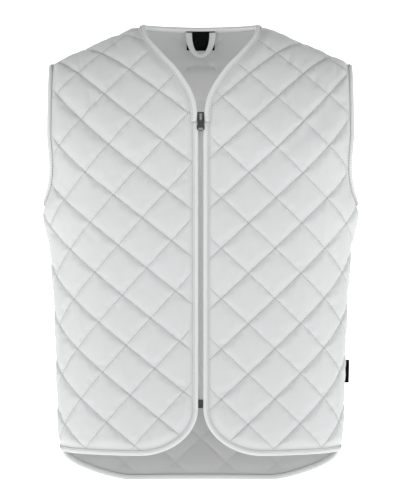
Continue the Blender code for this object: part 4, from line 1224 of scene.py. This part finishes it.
def make_tape_stitches(name, parts, look):
    """Rows of stitches on both faces of a tape, near its inner edge, near black as painted shade of the
    needle holes and of the step at the tape's inner edge.
    """
    shapes = []
    radius = look.thread_diameter / 2
    level = TAPE_OUTER - TAPE_STITCH_DIP
    for edge in parts:
        path = snapped(edge.place(edge.width - TAPE_STITCH_INSET), edge.side, 0.0)
        starts, ends = row_places(path, look.stitch_pitch, look.stitch_length)
        for face in (1, -1):
            places = []
            for flat in (starts, ends):
                normal = cloth_normal(edge.side, flat[:, 0], flat[:, 1]) * face
                places.append((cloth(edge.side, flat[:, 0], flat[:, 1]) + normal * level, normal))
            (first, normal), (second, _) = places
            shapes.append(stitch_shapes(first, second, normal, radius, radius * 1.1))
    part = new_object(name, *joined(shapes))
    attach(part, "gilet")


# Zip

def zip_places(x, level, out):
    """Points on the zip from arrays: distance from the middle plane, level, and height outwards."""
    x, level, out = np.broadcast_arrays(np.asarray(x, float), level, out)
    near = np.full(level.shape, TOUCHING)
    middle = cloth(FRONT, near, level)
    normal = cloth_normal(FRONT, near, level)
    normal[..., 0] = 0
    normal /= np.linalg.norm(normal, axis=-1, keepdims=True)
    points = middle + normal * out[..., None]
    points[..., 0] = x
    return points


def strip_piece(name, points, uv, node):
    """A thin closed strip from sections in space, with capped ends."""
    rows, count = points.shape[:2]
    end = np.arange(count)
    faces = [grid_faces(rows, count, close_columns=True), end[::-1][None], ((rows - 1) * count + end)[None]]
    part = new_object(name, points.reshape(-1, 3), faces, uv=uv.reshape(-1, 2))
    turn_outwards(part)
    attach(part, "gilet")
    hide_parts(node)


def make_zip_cloth(name, sign, node):
    """One woven half of the zip: a thin strip with a raised cord beside the teeth."""
    levels = np.linspace(SLIDER_TOP + DIVIDER_LENGTH + GAP, ZIP_BOTTOM, ZIP_STATIONS)
    across = np.linspace(GAP / 2, ZIP_TAPE_WIDTH, ZIP_COLUMNS)
    cord = ZIP_CORD_HEIGHT * np.exp(-((across - ZIP_CORD_PLACE) / ZIP_CORD_SPREAD) ** 2)
    rear = np.full(len(across), ZIP_TAPE_BACK)
    front = ZIP_TAPE_FRONT - ZIP_CLOTH_EASE + cord
    x = np.concatenate([across, across[::-1]])
    out = np.concatenate([front, rear[::-1]])
    points = zip_places(sign * x[None], levels[:, None], out[None])
    uv = np.stack(np.broadcast_arrays(x[None], levels[:, None]), axis=-1)
    strip_piece(name, points, uv, node)


def make_zip_teeth(look):
    """Both rows of the coil: short bent rods across the middle, the two rows half a pitch apart."""
    top = SLIDER_TOP + DIVIDER_LENGTH + 4 * GAP
    bottom = ZIP_BOTTOM - BOX_LENGTH - 2 * GAP
    height = (COIL_BACK + COIL_FRONT) / 2
    radius = TOOTH_RADIUS * look.tooth_pitch
    shapes = []
    for sign, shift in ((1, 0.0), (-1, look.tooth_pitch / 2)):
        level = np.arange(top + shift, bottom, look.tooth_pitch)
        start = zip_places(-sign * radius * 0.8, level, height)
        end = zip_places(sign * (COIL_WIDTH - radius * 0.4), level, height - radius * 0.4)
        normal = np.broadcast_to(np.array([0.0, -1.0, 0.0]), start.shape)
        shapes.append(stitch_shapes(start, end, normal, radius, radius * 0.6))
    part = new_object("zip_teeth", *joined(shapes))
    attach(part, "gilet")
    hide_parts("zip_coil_left", "zip_coil_right")


def round_edges(part, width):
    """Small rounded edges on a hard piece, as a live modifier."""
    bevel = part.modifiers.new("rounded edges", "BEVEL")
    bevel.width = width
    bevel.segments = 3
    bevel.limit_method = "ANGLE"
    bevel.angle_limit = math.radians(35)
    bevel.harden_normals = True


# Labels and hanging loop

def back_inner(across, drop, inward):
    """Points inside the back from arrays: place across, distance below the neck edge, and depth."""
    across, drop, inward = np.broadcast_arrays(np.asarray(across, float), drop, inward)
    neck = back_neck_edge()
    down = np.interp(np.abs(across), neck[:, 0], neck[:, 1]) + drop
    return cloth(BACK, across, down) - cloth_normal(BACK, across, down) * inward[..., None]


def label_back():
    """Inward offset of the patch's hidden face, clear of the padding."""
    return max(TAPE_OUTER, HALF_SEWN + INNER_PUFF) + GAP


def make_neck_patch():
    """Bare woven patch inside the back neck, with a turned-in border that stands a little proud."""
    top = NECK_TAPE_WIDTH - 3 * TAPE_WALL
    back = label_back()
    across = np.linspace(-LABEL_WIDTH / 2, LABEL_WIDTH / 2, 45)
    drops = np.linspace(0, LABEL_HEIGHT, 37)
    from_side = (LABEL_WIDTH / 2 - np.abs(across))[:, None]
    from_end = np.minimum(drops, LABEL_HEIGHT - drops)[None]
    hem = smoothstep((PATCH_HEM - np.minimum(from_side, from_end)) / PATCH_HEM_SLOPE)
    shown = back + LABEL_THICKNESS * (PATCH_MIDDLE + (1 - PATCH_MIDDLE) * hem)
    hidden = np.full_like(shown, back)
    inward = np.concatenate([hidden, shown[:, ::-1]], axis=1)
    drop = top + np.concatenate([drops, drops[::-1]])[None]
    points = back_inner(across[:, None], drop, inward)
    uv = np.stack(np.broadcast_arrays(across[:, None], drop), axis=-1)
    strip_piece("neck_patch", points, uv, "neck_label")


def loop_path(share):
    """Middle line of the hanging loop: a U, share 0 to 1 from one leg's top to the other's."""
    angle = math.pi * share
    across = -np.cos(angle) * LOOP_WIDTH / 2
    drop = LOOP_HEIGHT * np.sin(angle) ** LOOP_POWER
    return across, drop


def make_loop_tape():
    """Flat tape in a U in front of the patch, standing off it towards the bottom."""
    top = NECK_TAPE_WIDTH - 2 * TAPE_WALL
    near = label_back() + LABEL_THICKNESS + GAP
    share = np.linspace(0, 1, 121)
    across, drop = loop_path(share)
    before = np.stack(loop_path(np.maximum(share - 0.01, 0)), axis=1)
    after = np.stack(loop_path(np.minimum(share + 0.01, 1)), axis=1)
    run = after - before
    run /= np.linalg.norm(run, axis=1, keepdims=True)
    stand = near + LOOP_STAND_OFF * np.sin(math.pi * share)
    flare = LOOP_FLARE * np.abs(np.cos(math.pi * share)) ** 1.6
    angle = 2 * math.pi * np.arange(14) / 14
    wide = np.sign(np.cos(angle)) * np.abs(np.cos(angle)) ** 0.45 * LOOP_TAPE_WIDTH / 2
    deep = LOOP_TAPE_THICKNESS * (0.5 + 0.5 * np.sign(np.sin(angle)) * np.abs(np.sin(angle)) ** 0.6)
    outward = np.where(wide > 0, wide + flare[:, None], wide)
    side = across[:, None] - run[:, 1, None] * outward
    fall = top + drop[:, None] + run[:, 0, None] * outward
    points = back_inner(side, fall, stand[:, None] + deep)
    walked = lengths(np.stack([across, drop], axis=1))
    uv = np.stack(np.broadcast_arrays(walked[:, None], outward), axis=-1)
    strip_piece("loop_tape", points, uv, "hanger_loop")


def make_side_tab():
    """Bare folded tab that stands out of the wearer's left side seam, with a round fold."""
    levels = np.linspace(SIDE_LABEL_LEVEL - SIDE_LABEL_HEIGHT / 2,
                         SIDE_LABEL_LEVEL + SIDE_LABEL_HEIGHT / 2, 37)
    half = SIDE_LABEL_THICKNESS / 2
    seam_x = cloth(FRONT, side_across(FRONT, levels), levels)[:, 0]
    start = seam_x + HALF_SEWN + GAP
    turn = np.linspace(-math.pi / 2, math.pi / 2, 9)
    reach = SIDE_LABEL_DEPTH - half
    out = np.concatenate([np.linspace(0, reach, 10)[:-1], reach + half * np.cos(turn),
                          np.linspace(reach, 0, 10)[1:]])
    thick = np.concatenate([np.full(9, -half), half * np.sin(turn), np.full(9, half)])
    x = start[:, None] + out[None]
    y = np.broadcast_to(thick[None], x.shape)
    z = np.broadcast_to(-levels[:, None], x.shape)
    points = np.stack([x, y, z], axis=-1)
    uv = np.stack(np.broadcast_arrays(levels[:, None], out[None]), axis=-1)
    strip_piece("side_tab", points, uv, "side_label")


# Materials

def link_inputs(tree, node, inputs):
    """Sets a node's inputs from values or from other nodes' outputs."""
    for key, value in inputs.items():
        socket = node.inputs[key]
        if isinstance(value, bpy.types.NodeSocket):
            tree.links.new(value, socket)
        else:
            socket.default_value = value
    return node


def add_node(tree, kind, inputs=None, **settings):
    """A new node with its settings and inputs."""
    node = tree.nodes.new("ShaderNode" + kind)
    for key, value in settings.items():
        setattr(node, key, value)
    return link_inputs(tree, node, inputs or {})


def math_node(tree, operation, *values):
    """Output of a math node."""
    node = add_node(tree, "Math", operation=operation)
    return link_inputs(tree, node, dict(enumerate(values))).outputs[0]


def new_group(name, inputs, outputs):
    """An empty shader node group with named sockets."""
    group = bpy.data.node_groups.new(name, "ShaderNodeTree")
    for label, kind, default in inputs:
        socket = group.interface.new_socket(name=label, in_out="INPUT", socket_type="NodeSocket" + kind)
        if default is not None:
            socket.default_value = default
    for label, kind in outputs:
        group.interface.new_socket(name=label, in_out="OUTPUT", socket_type="NodeSocket" + kind)
    return group, group.nodes.new("NodeGroupInput"), group.nodes.new("NodeGroupOutput")


def weave_group():
    """Plain weave: crossing threads as a product of sines, with soft unevenness from noise."""
    group, start, end = new_group(
        "Plain weave",
        [("Coordinates", "Vector", None), ("Colour", "Color", (0.8, 0.8, 0.8, 1)),
         ("Thread Pitch", "Float", 0.0006), ("Unevenness", "Float", 0.05),
         ("Relief", "Float", 0.00005), ("Crumple", "Float", 0.0002)],
        [("Colour", "Color"), ("Normal", "Vector")],
    )
    inputs = start.outputs
    parts = add_node(group, "SeparateXYZ", {"Vector": inputs["Coordinates"]}).outputs
    rate = math_node(group, "DIVIDE", 2 * math.pi, inputs["Thread Pitch"])
    warp = math_node(group, "SINE", math_node(group, "MULTIPLY", parts["X"], rate))
    weft = math_node(group, "SINE", math_node(group, "MULTIPLY", parts["Y"], rate))
    threads = math_node(group, "MULTIPLY", warp, weft)
    soft = add_node(group, "TexNoise", {
        "Vector": inputs["Coordinates"], "Scale": 160.0, "Detail": 4.0, "Roughness": 0.6}).outputs["Fac"]
    broad = add_node(group, "TexNoise", {
        "Vector": inputs["Coordinates"], "Scale": 28.0, "Detail": 3.0, "Roughness": 0.55}).outputs["Fac"]
    shade = math_node(group, "SUBTRACT", 1.0, math_node(
        group, "MULTIPLY", math_node(group, "MULTIPLY", broad, soft), inputs["Unevenness"]))
    colour = add_node(group, "VectorMath", {0: inputs["Colour"], "Scale": shade}, operation="SCALE")
    rough = add_node(group, "Bump", {"Height": soft, "Distance": inputs["Crumple"], "Strength": 1.0})
    fine = add_node(group, "Bump", {
        "Height": threads, "Distance": inputs["Relief"], "Strength": 1.0, "Normal": rough.outputs[0]})
    link_inputs(group, end, {"Colour": colour.outputs[0], "Normal": fine.outputs[0]})
    return group


def wear_group():
    """Worn metal: fine scratches, lighter rubbed spots from noise and one lighter worn place."""
    group, start, end = new_group(
        "Rubbed metal",
        [("Coordinates", "Vector", None), ("Colour", "Color", (0.1, 0.1, 0.1, 1)),
         ("Rubbed Colour", "Color", (0.5, 0.5, 0.5, 1)), ("Amount", "Float", 0.3),
         ("Roughness", "Float", 0.35), ("Worn Place", "Vector", None), ("Worn Reach", "Vector", None)],
        [("Colour", "Color"), ("Roughness", "Float"), ("Normal", "Vector")],
    )
    inputs = start.outputs
    away = add_node(group, "VectorMath", {0: inputs["Coordinates"], 1: inputs["Worn Place"]},
                    operation="SUBTRACT").outputs[0]
    share = add_node(group, "VectorMath", {0: away, 1: inputs["Worn Reach"]},
                     operation="DIVIDE").outputs[0]
    size = add_node(group, "VectorMath", {0: share}, operation="ABSOLUTE").outputs[0]
    sides = add_node(group, "SeparateXYZ", {0: size}).outputs
    furthest = math_node(group, "MAXIMUM", sides["X"], sides["Z"])
    worn = add_node(group, "MapRange", {
        "Value": furthest, "From Min": 1.0, "From Max": 0.7, "To Min": 0.0, "To Max": 1.0}).outputs[0]
    spots = add_node(group, "TexNoise", {
        "Vector": inputs["Coordinates"], "Scale": 600.0, "Detail": 5.0, "Roughness": 0.65}).outputs["Fac"]
    spotted = math_node(group, "MULTIPLY", spots, inputs["Amount"])
    mask = math_node(group, "MAXIMUM", spotted, worn)
    colour = add_node(group, "Mix", data_type="RGBA")
    link_inputs(group, colour, {0: mask, 6: inputs["Colour"], 7: inputs["Rubbed Colour"]})
    rough = math_node(group, "ADD", inputs["Roughness"], math_node(group, "MULTIPLY", mask, 0.3))
    bump = add_node(group, "Bump", {"Height": spots, "Distance": 0.00003, "Strength": 1.0})
    link_inputs(group, end, {
        "Colour": colour.outputs[2], "Roughness": rough, "Normal": bump.outputs[0]})
    return group


def grouped_material(name, group, inputs, place, settings):
    """Principled material whose shader inputs of the same names come from a node group."""
    material = bpy.data.materials.new(name)
    material.use_nodes = True
    tree = material.node_tree
    look = tree.nodes.new("ShaderNodeGroup")
    look.node_tree = group
    if place == "cloth":
        where = add_node(tree, "UVMap", uv_map="cloth").outputs["UV"]
    else:
        where = add_node(tree, "TexCoord").outputs["Object"]
    link_inputs(tree, look, {"Coordinates": where, **inputs})
    made = {"Base Color" if key == "Colour" else key: look.outputs[key] for key in look.outputs.keys()}
    link_inputs(tree, tree.nodes["Principled BSDF"], {**made, **settings})
    return material


def cloth_material(row, group, look):
    """Material of a row of the cloths."""
    name, colour, pitch, roughness, sheen, uneven, relief, crumple, shine = row
    return grouped_material(name, group, {
        "Colour": (*getattr(look, colour), 1.0), "Thread Pitch": pitch, "Unevenness": uneven,
        "Relief": relief, "Crumple": crumple,
    }, "object" if name == "Thread" else "cloth", {
        "Roughness": roughness, "Sheen Weight": sheen, "Sheen Roughness": 0.4,
        "Specular IOR Level": shine})


def hard_material(name, group, colour, rubbed, amount, roughness, metallic,
                  worn_place=(0.0, 0.0, 9.0), worn_reach=(1.0, 1.0, 1.0)):
    """Metal or plastic, with a lighter worn place where one is given."""
    return grouped_material(name, group, {
        "Colour": (*colour, 1.0), "Rubbed Colour": (*rubbed, 1.0), "Amount": amount,
        "Roughness": roughness, "Worn Place": worn_place, "Worn Reach": worn_reach,
    }, "object", {"Metallic": metallic})


def metal_material(node, rise, reach, group, look):
    """Dark metal of a piece, worn at this share of its height."""
    corners = np.array(frame["nodes"][node].bound_box)
    low, high = corners.min(axis=0), corners.max(axis=0)
    place = (low + high) / 2
    place[2] = low[2] + rise * (high[2] - low[2])
    return hard_material("Dark metal of " + node, group, look.metal_colour, look.rubbed_colour,
                         0.35, 0.34, 0.9, tuple(place), reach)


def dress(part, *materials):
    """Puts these materials on a piece in place of any others."""
    slots = part.data.materials
    for number, material in enumerate(materials):
        if number < len(slots):
            slots[number] = material
        else:
            slots.append(material)


# Stage

def make_floor(look):
    """A floor that curves up into a backdrop and glows a little."""
    turn = np.linspace(0, math.pi / 2, 17)
    depth = np.concatenate([[-FLOOR_REACH], BACKDROP_DISTANCE + BACKDROP_RADIUS * np.sin(turn),
                            [BACKDROP_DISTANCE + BACKDROP_RADIUS]])
    height = FLOOR_LEVEL + np.concatenate([[0.0], BACKDROP_RADIUS * (1 - np.cos(turn)),
                                           [BACKDROP_HEIGHT]])
    wide = np.array([-FLOOR_REACH, FLOOR_REACH])
    points = np.stack(np.broadcast_arrays(wide[None], depth[:, None], height[:, None]), axis=-1)
    floor = new_object("floor", points.reshape(-1, 3), [grid_faces(len(depth), 2)])
    pale = bpy.data.materials.new("Pale floor")
    pale.use_nodes = True
    link_inputs(pale.node_tree, pale.node_tree.nodes["Principled BSDF"], {
        "Base Color": (*look.floor_colour, 1.0), "Roughness": 0.9,
        "Emission Color": (1, 1, 1, 1), "Emission Strength": FLOOR_GLOW})
    dress(floor, pale)
    return floor


def make_lights(scene):
    """Soft lights that aim at their targets and stay out of the picture."""
    lights = []
    for name, place, target, size, watts in LIGHTS:
        lamp = bpy.data.lights.new(name, "AREA")
        lamp.shape = "RECTANGLE"
        lamp.size, lamp.size_y = size
        lamp.energy = watts
        light = bpy.data.objects.new(name, lamp)
        light.location = place
        light.visible_camera = False
        aim = Vector(target) - Vector(place)
        light.rotation_euler = aim.to_track_quat("-Z", "Y").to_euler()
        scene.collection.objects.link(light)
        lights.append(light)
    return lights


def make_camera(scene):
    """A camera level with the middle of the gilet."""
    lens = bpy.data.cameras.new("camera")
    lens.sensor_fit = "HORIZONTAL"
    lens.sensor_width = SENSOR_WIDTH
    lens.lens = SENSOR_WIDTH * -CAMERA_PLACE[1] / FRAME_WIDTH
    camera = bpy.data.objects.new("camera", lens)
    camera.location = CAMERA_PLACE
    camera.rotation_euler = (math.pi / 2, 0, 0)
    scene.collection.objects.link(camera)
    return camera


# Layout shared by the pieces

def panel_paths():
    """Outline and padded area of each panel, from the free edges."""
    edges = free_edges()
    mirror = np.array([-1.0, 1.0])
    outline, ring = front_outline(edges, False), front_outline(edges, True)
    return {
        "front_panel_left": (outline, ring),
        "front_panel_right": (outline * mirror, ring * mirror),
        "back_panel": (back_outline(edges, False), back_outline(edges, True)),
    }


def tape_parts():
    """Each tape's node, the edges it follows in order, and whether it closes on itself."""
    edges = free_edges()
    neck, back_neck = edges["neck"], edges["back_neck"]
    tapes = {
        "neck_binding": ([neck.mirrored().reversed(), back_neck.mirrored().reversed(),
                          back_neck, neck], False),
        "tail_binding": ([edges["tail"].mirrored().reversed(), edges["tail"]], False),
    }
    for name, flip in (("left", False), ("right", True)):
        front, front_arm, back_arm = edges["front"], edges["front_armhole"], edges["back_armhole"]
        if flip:
            front, front_arm, back_arm = front.mirrored(), front_arm.mirrored(), back_arm.mirrored()
        tapes["front_binding_" + name] = ([front], False)
        tapes["armhole_binding_" + name] = ([front_arm, back_arm.reversed()], True)
    return tapes


# Sizes and colours

class GiletLook(bpy.types.PropertyGroup):
    """Sizes of the sewn details and colours of the cloth."""

    cells: bpy.props.IntProperty(
        name="Cells", description="Mesh cells along each side of a diamond", default=18, min=4)
    cells_quick: bpy.props.IntProperty(
        name="Quick cells", description="The same for a quick look", default=10, min=4)
    cloth_quality: bpy.props.IntProperty(
        name="Cloth quality", description="Steps of the cloth per frame", default=5, min=1)
    cloth_pressure: bpy.props.FloatProperty(
        name="Pressure", description="Pressure of the padding", default=4.0)
    cloth_excess: bpy.props.FloatProperty(
        name="Excess", description="Extra cloth between stitch lines", default=0.02, subtype="FACTOR")
    cloth_reach: bpy.props.FloatProperty(
        name="Reach", description="Furthest that a point may settle", default=0.0014, unit="LENGTH")
    padding_fill: bpy.props.FloatProperty(
        name="Fill", description="How full the padding is", default=0.4, subtype="FACTOR")
    wrinkle_pitch: bpy.props.FloatProperty(
        name="Wrinkle pitch", description="Width of the small wrinkles", default=0.018, unit="LENGTH")
    wrinkle_height: bpy.props.FloatProperty(
        name="Wrinkle height", description="Height of the small wrinkles", default=0.0008, unit="LENGTH")
    stitch_pitch: bpy.props.FloatProperty(
        name="Stitch pitch", description="Distance from stitch to stitch", default=0.0038, unit="LENGTH")
    stitch_length: bpy.props.FloatProperty(
        name="Stitch length", description="Length of thread that shows", default=0.0013, unit="LENGTH")
    thread_diameter: bpy.props.FloatProperty(
        name="Thread", description="Diameter of the thread", default=0.0008, unit="LENGTH")
    tape_pucker: bpy.props.FloatProperty(
        name="Tape pucker", description="Height of the edge tape's puckers", default=0.00012, unit="LENGTH")
    tape_pucker_pitch: bpy.props.FloatProperty(
        name="Tape pucker pitch", description="Length of a pucker", default=0.009, unit="LENGTH")
    tooth_pitch: bpy.props.FloatProperty(
        name="Tooth pitch", description="Distance from tooth to tooth", default=0.0014, unit="LENGTH")
    outer_colour: bpy.props.FloatVectorProperty(
        name="Outer cloth colour", description="Outer cloth", default=(0.655, 0.67, 0.67), subtype="COLOR")
    # Darker than the outer cloth: painted shade of the gilet's inside
    lining_painted_shade_colour: bpy.props.FloatVectorProperty(
        name="Lining", description="Inner cloth", default=(0.50, 0.505, 0.502), subtype="COLOR")
    tape_colour: bpy.props.FloatVectorProperty(
        name="Edge tape", description="Edge tape", default=(0.73, 0.75, 0.745), subtype="COLOR")
    # Near black: painted shade of the needle holes and of the step beside each edge tape, not the thread's
    # own colour
    painted_shade_thread_colour: bpy.props.FloatVectorProperty(
        name="Thread colour", description="Thread", default=(0.06, 0.061, 0.061), subtype="COLOR")
    zip_colour: bpy.props.FloatVectorProperty(
        name="Zip cloth", description="Woven zip tape", default=(0.76, 0.77, 0.765), subtype="COLOR")
    tooth_colour: bpy.props.FloatVectorProperty(
        name="Zip teeth", description="Zip teeth", default=(0.72, 0.73, 0.725), subtype="COLOR")
    metal_colour: bpy.props.FloatVectorProperty(
        name="Metal", description="Slider and pull", default=(0.035, 0.036, 0.037), subtype="COLOR")
    rubbed_colour: bpy.props.FloatVectorProperty(
        name="Rubbed metal", description="Rubbed spots", default=(0.40, 0.40, 0.40), subtype="COLOR")
    label_colour: bpy.props.FloatVectorProperty(
        name="Labels", description="Bare labels", default=(0.004, 0.004, 0.0045), subtype="COLOR")
    loop_colour: bpy.props.FloatVectorProperty(
        name="Loop", description="Hanging loop", default=(0.60, 0.62, 0.615), subtype="COLOR")
    floor_colour: bpy.props.FloatVectorProperty(
        name="Floor", description="Floor and backdrop", default=(0.92, 0.92, 0.92), subtype="COLOR")


# Operators

class GILET_OT_quilting(bpy.types.Operator):
    """Build the three quilted panels"""

    bl_idname = "gilet.quilting"
    bl_label = "Quilted panels"

    def execute(self, context):
        look = context.scene.gilet_look
        for name, (outline, ring) in panel_paths().items():
            make_panel(name, outline, ring, look)
        return {"FINISHED"}


class GILET_OT_edge_tapes(bpy.types.Operator):
    """Build the folded tapes round the free edges"""

    bl_idname = "gilet.edge_tapes"
    bl_label = "Edge tapes"

    def execute(self, context):
        for node, (parts, closed) in tape_parts().items():
            make_tape(node.replace("binding", "tape"), parts, node, context.scene.gilet_look, closed)
        return {"FINISHED"}


class GILET_OT_stitches(bpy.types.Operator):
    """Build the thread on the panels and the tapes"""

    bl_idname = "gilet.stitches"
    bl_label = "Stitches"

    def execute(self, context):
        look = context.scene.gilet_look
        for name, (_, ring) in panel_paths().items():
            make_quilt_stitches(name, ring, look)
        for node, (parts, _) in tape_parts().items():
            make_tape_stitches(node.replace("binding", "tape_stitches"), parts, look)
        return {"FINISHED"}


class GILET_OT_zip(bpy.types.Operator):
    """Build the zip's cloth and teeth, and round the hard pieces' edges"""

    bl_idname = "gilet.zip"
    bl_label = "Zip"

    def execute(self, context):
        make_zip_cloth("zip_cloth_left", 1, "zip_tape_left")
        make_zip_cloth("zip_cloth_right", -1, "zip_tape_right")
        make_zip_teeth(context.scene.gilet_look)
        for node in ("zip_slider", "zip_pull", "zip_box"):
            round_edges(frame["nodes"][node], HARD_ROUNDING)
        return {"FINISHED"}


class GILET_OT_labels(bpy.types.Operator):
    """Build the bare labels and the hanging loop"""

    bl_idname = "gilet.labels"
    bl_label = "Labels and loop"

    def execute(self, context):
        make_neck_patch()
        make_loop_tape()
        make_side_tab()
        return {"FINISHED"}


class GILET_OT_finishes(bpy.types.Operator):
    """Give each piece its material"""

    bl_idname = "gilet.finishes"
    bl_label = "Materials"

    def execute(self, context):
        look = context.scene.gilet_look
        weave = weave_group()
        wear = wear_group()
        materials = {row[0]: cloth_material(row, weave, look) for row in CLOTHS}
        materials["Zip teeth"] = hard_material(
            "Zip teeth", wear, look.tooth_colour, look.tooth_colour, 0.2, 0.45, 0.0)
        for part in bpy.data.objects:
            for words, names in FINISHES:
                if part.type == "MESH" and any(word in part.name for word in words):
                    dress(part, *[materials[name] for name in names])
                    break
        nodes = frame["nodes"]
        for node, rise, reach in WORN_PLACES:
            dress(nodes[node], metal_material(node, rise, reach, wear, look))
        dress(nodes["zip_box"], hard_material(
            "Box plastic", wear, look.metal_colour, look.metal_colour, 0.3, 0.5, 0.0))
        return {"FINISHED"}


class GILET_OT_stage(bpy.types.Operator):
    """Build the floor, backdrop, lights and camera"""

    bl_idname = "gilet.stage"
    bl_label = "Stage"

    def execute(self, context):
        scene = context.scene
        scene.camera = make_camera(scene)
        make_floor(scene.gilet_look)
        make_lights(scene)
        world = bpy.data.worlds.new("soft room")
        world.use_nodes = True
        background = world.node_tree.nodes["Background"]
        background.inputs["Color"].default_value = (1, 1, 1, 1)
        background.inputs["Strength"].default_value = ROOM_LIGHT
        scene.world = world
        scene.view_settings.view_transform = "Standard"
        return {"FINISHED"}


class GILET_PT_look(bpy.types.Panel):
    """Sizes, colours and steps of the gilet."""

    bl_label = "Quilted gilet"
    bl_idname = "GILET_PT_look"
    bl_space_type = "VIEW_3D"
    bl_region_type = "UI"
    bl_category = "Gilet"

    def draw(self, context):
        for name in GiletLook.__annotations__:
            self.layout.prop(context.scene.gilet_look, name)
        for step in STEPS:
            self.layout.operator(step.bl_idname)


STEPS = (GILET_OT_quilting, GILET_OT_edge_tapes, GILET_OT_stitches, GILET_OT_zip, GILET_OT_labels,
         GILET_OT_finishes, GILET_OT_stage)
CLASSES = (GiletLook,) + STEPS + (GILET_PT_look,)


def register():
    """Adds the classes and the scene's settings."""
    for item in CLASSES:
        bpy.utils.register_class(item)
    bpy.types.Scene.gilet_look = bpy.props.PointerProperty(type=GiletLook)


def unregister():
    """Takes them away again."""
    del bpy.types.Scene.gilet_look
    for item in reversed(CLASSES):
        bpy.utils.unregister_class(item)


def main():
    """Builds everything in order."""
    register()
    for step in STEPS:
        group, name = step.bl_idname.split(".")
        result = getattr(getattr(bpy.ops, group), name)()
        if result != {"FINISHED"}:
            raise RuntimeError(step.bl_label + " didn't finish")


if __name__ == "__main__":
    main()
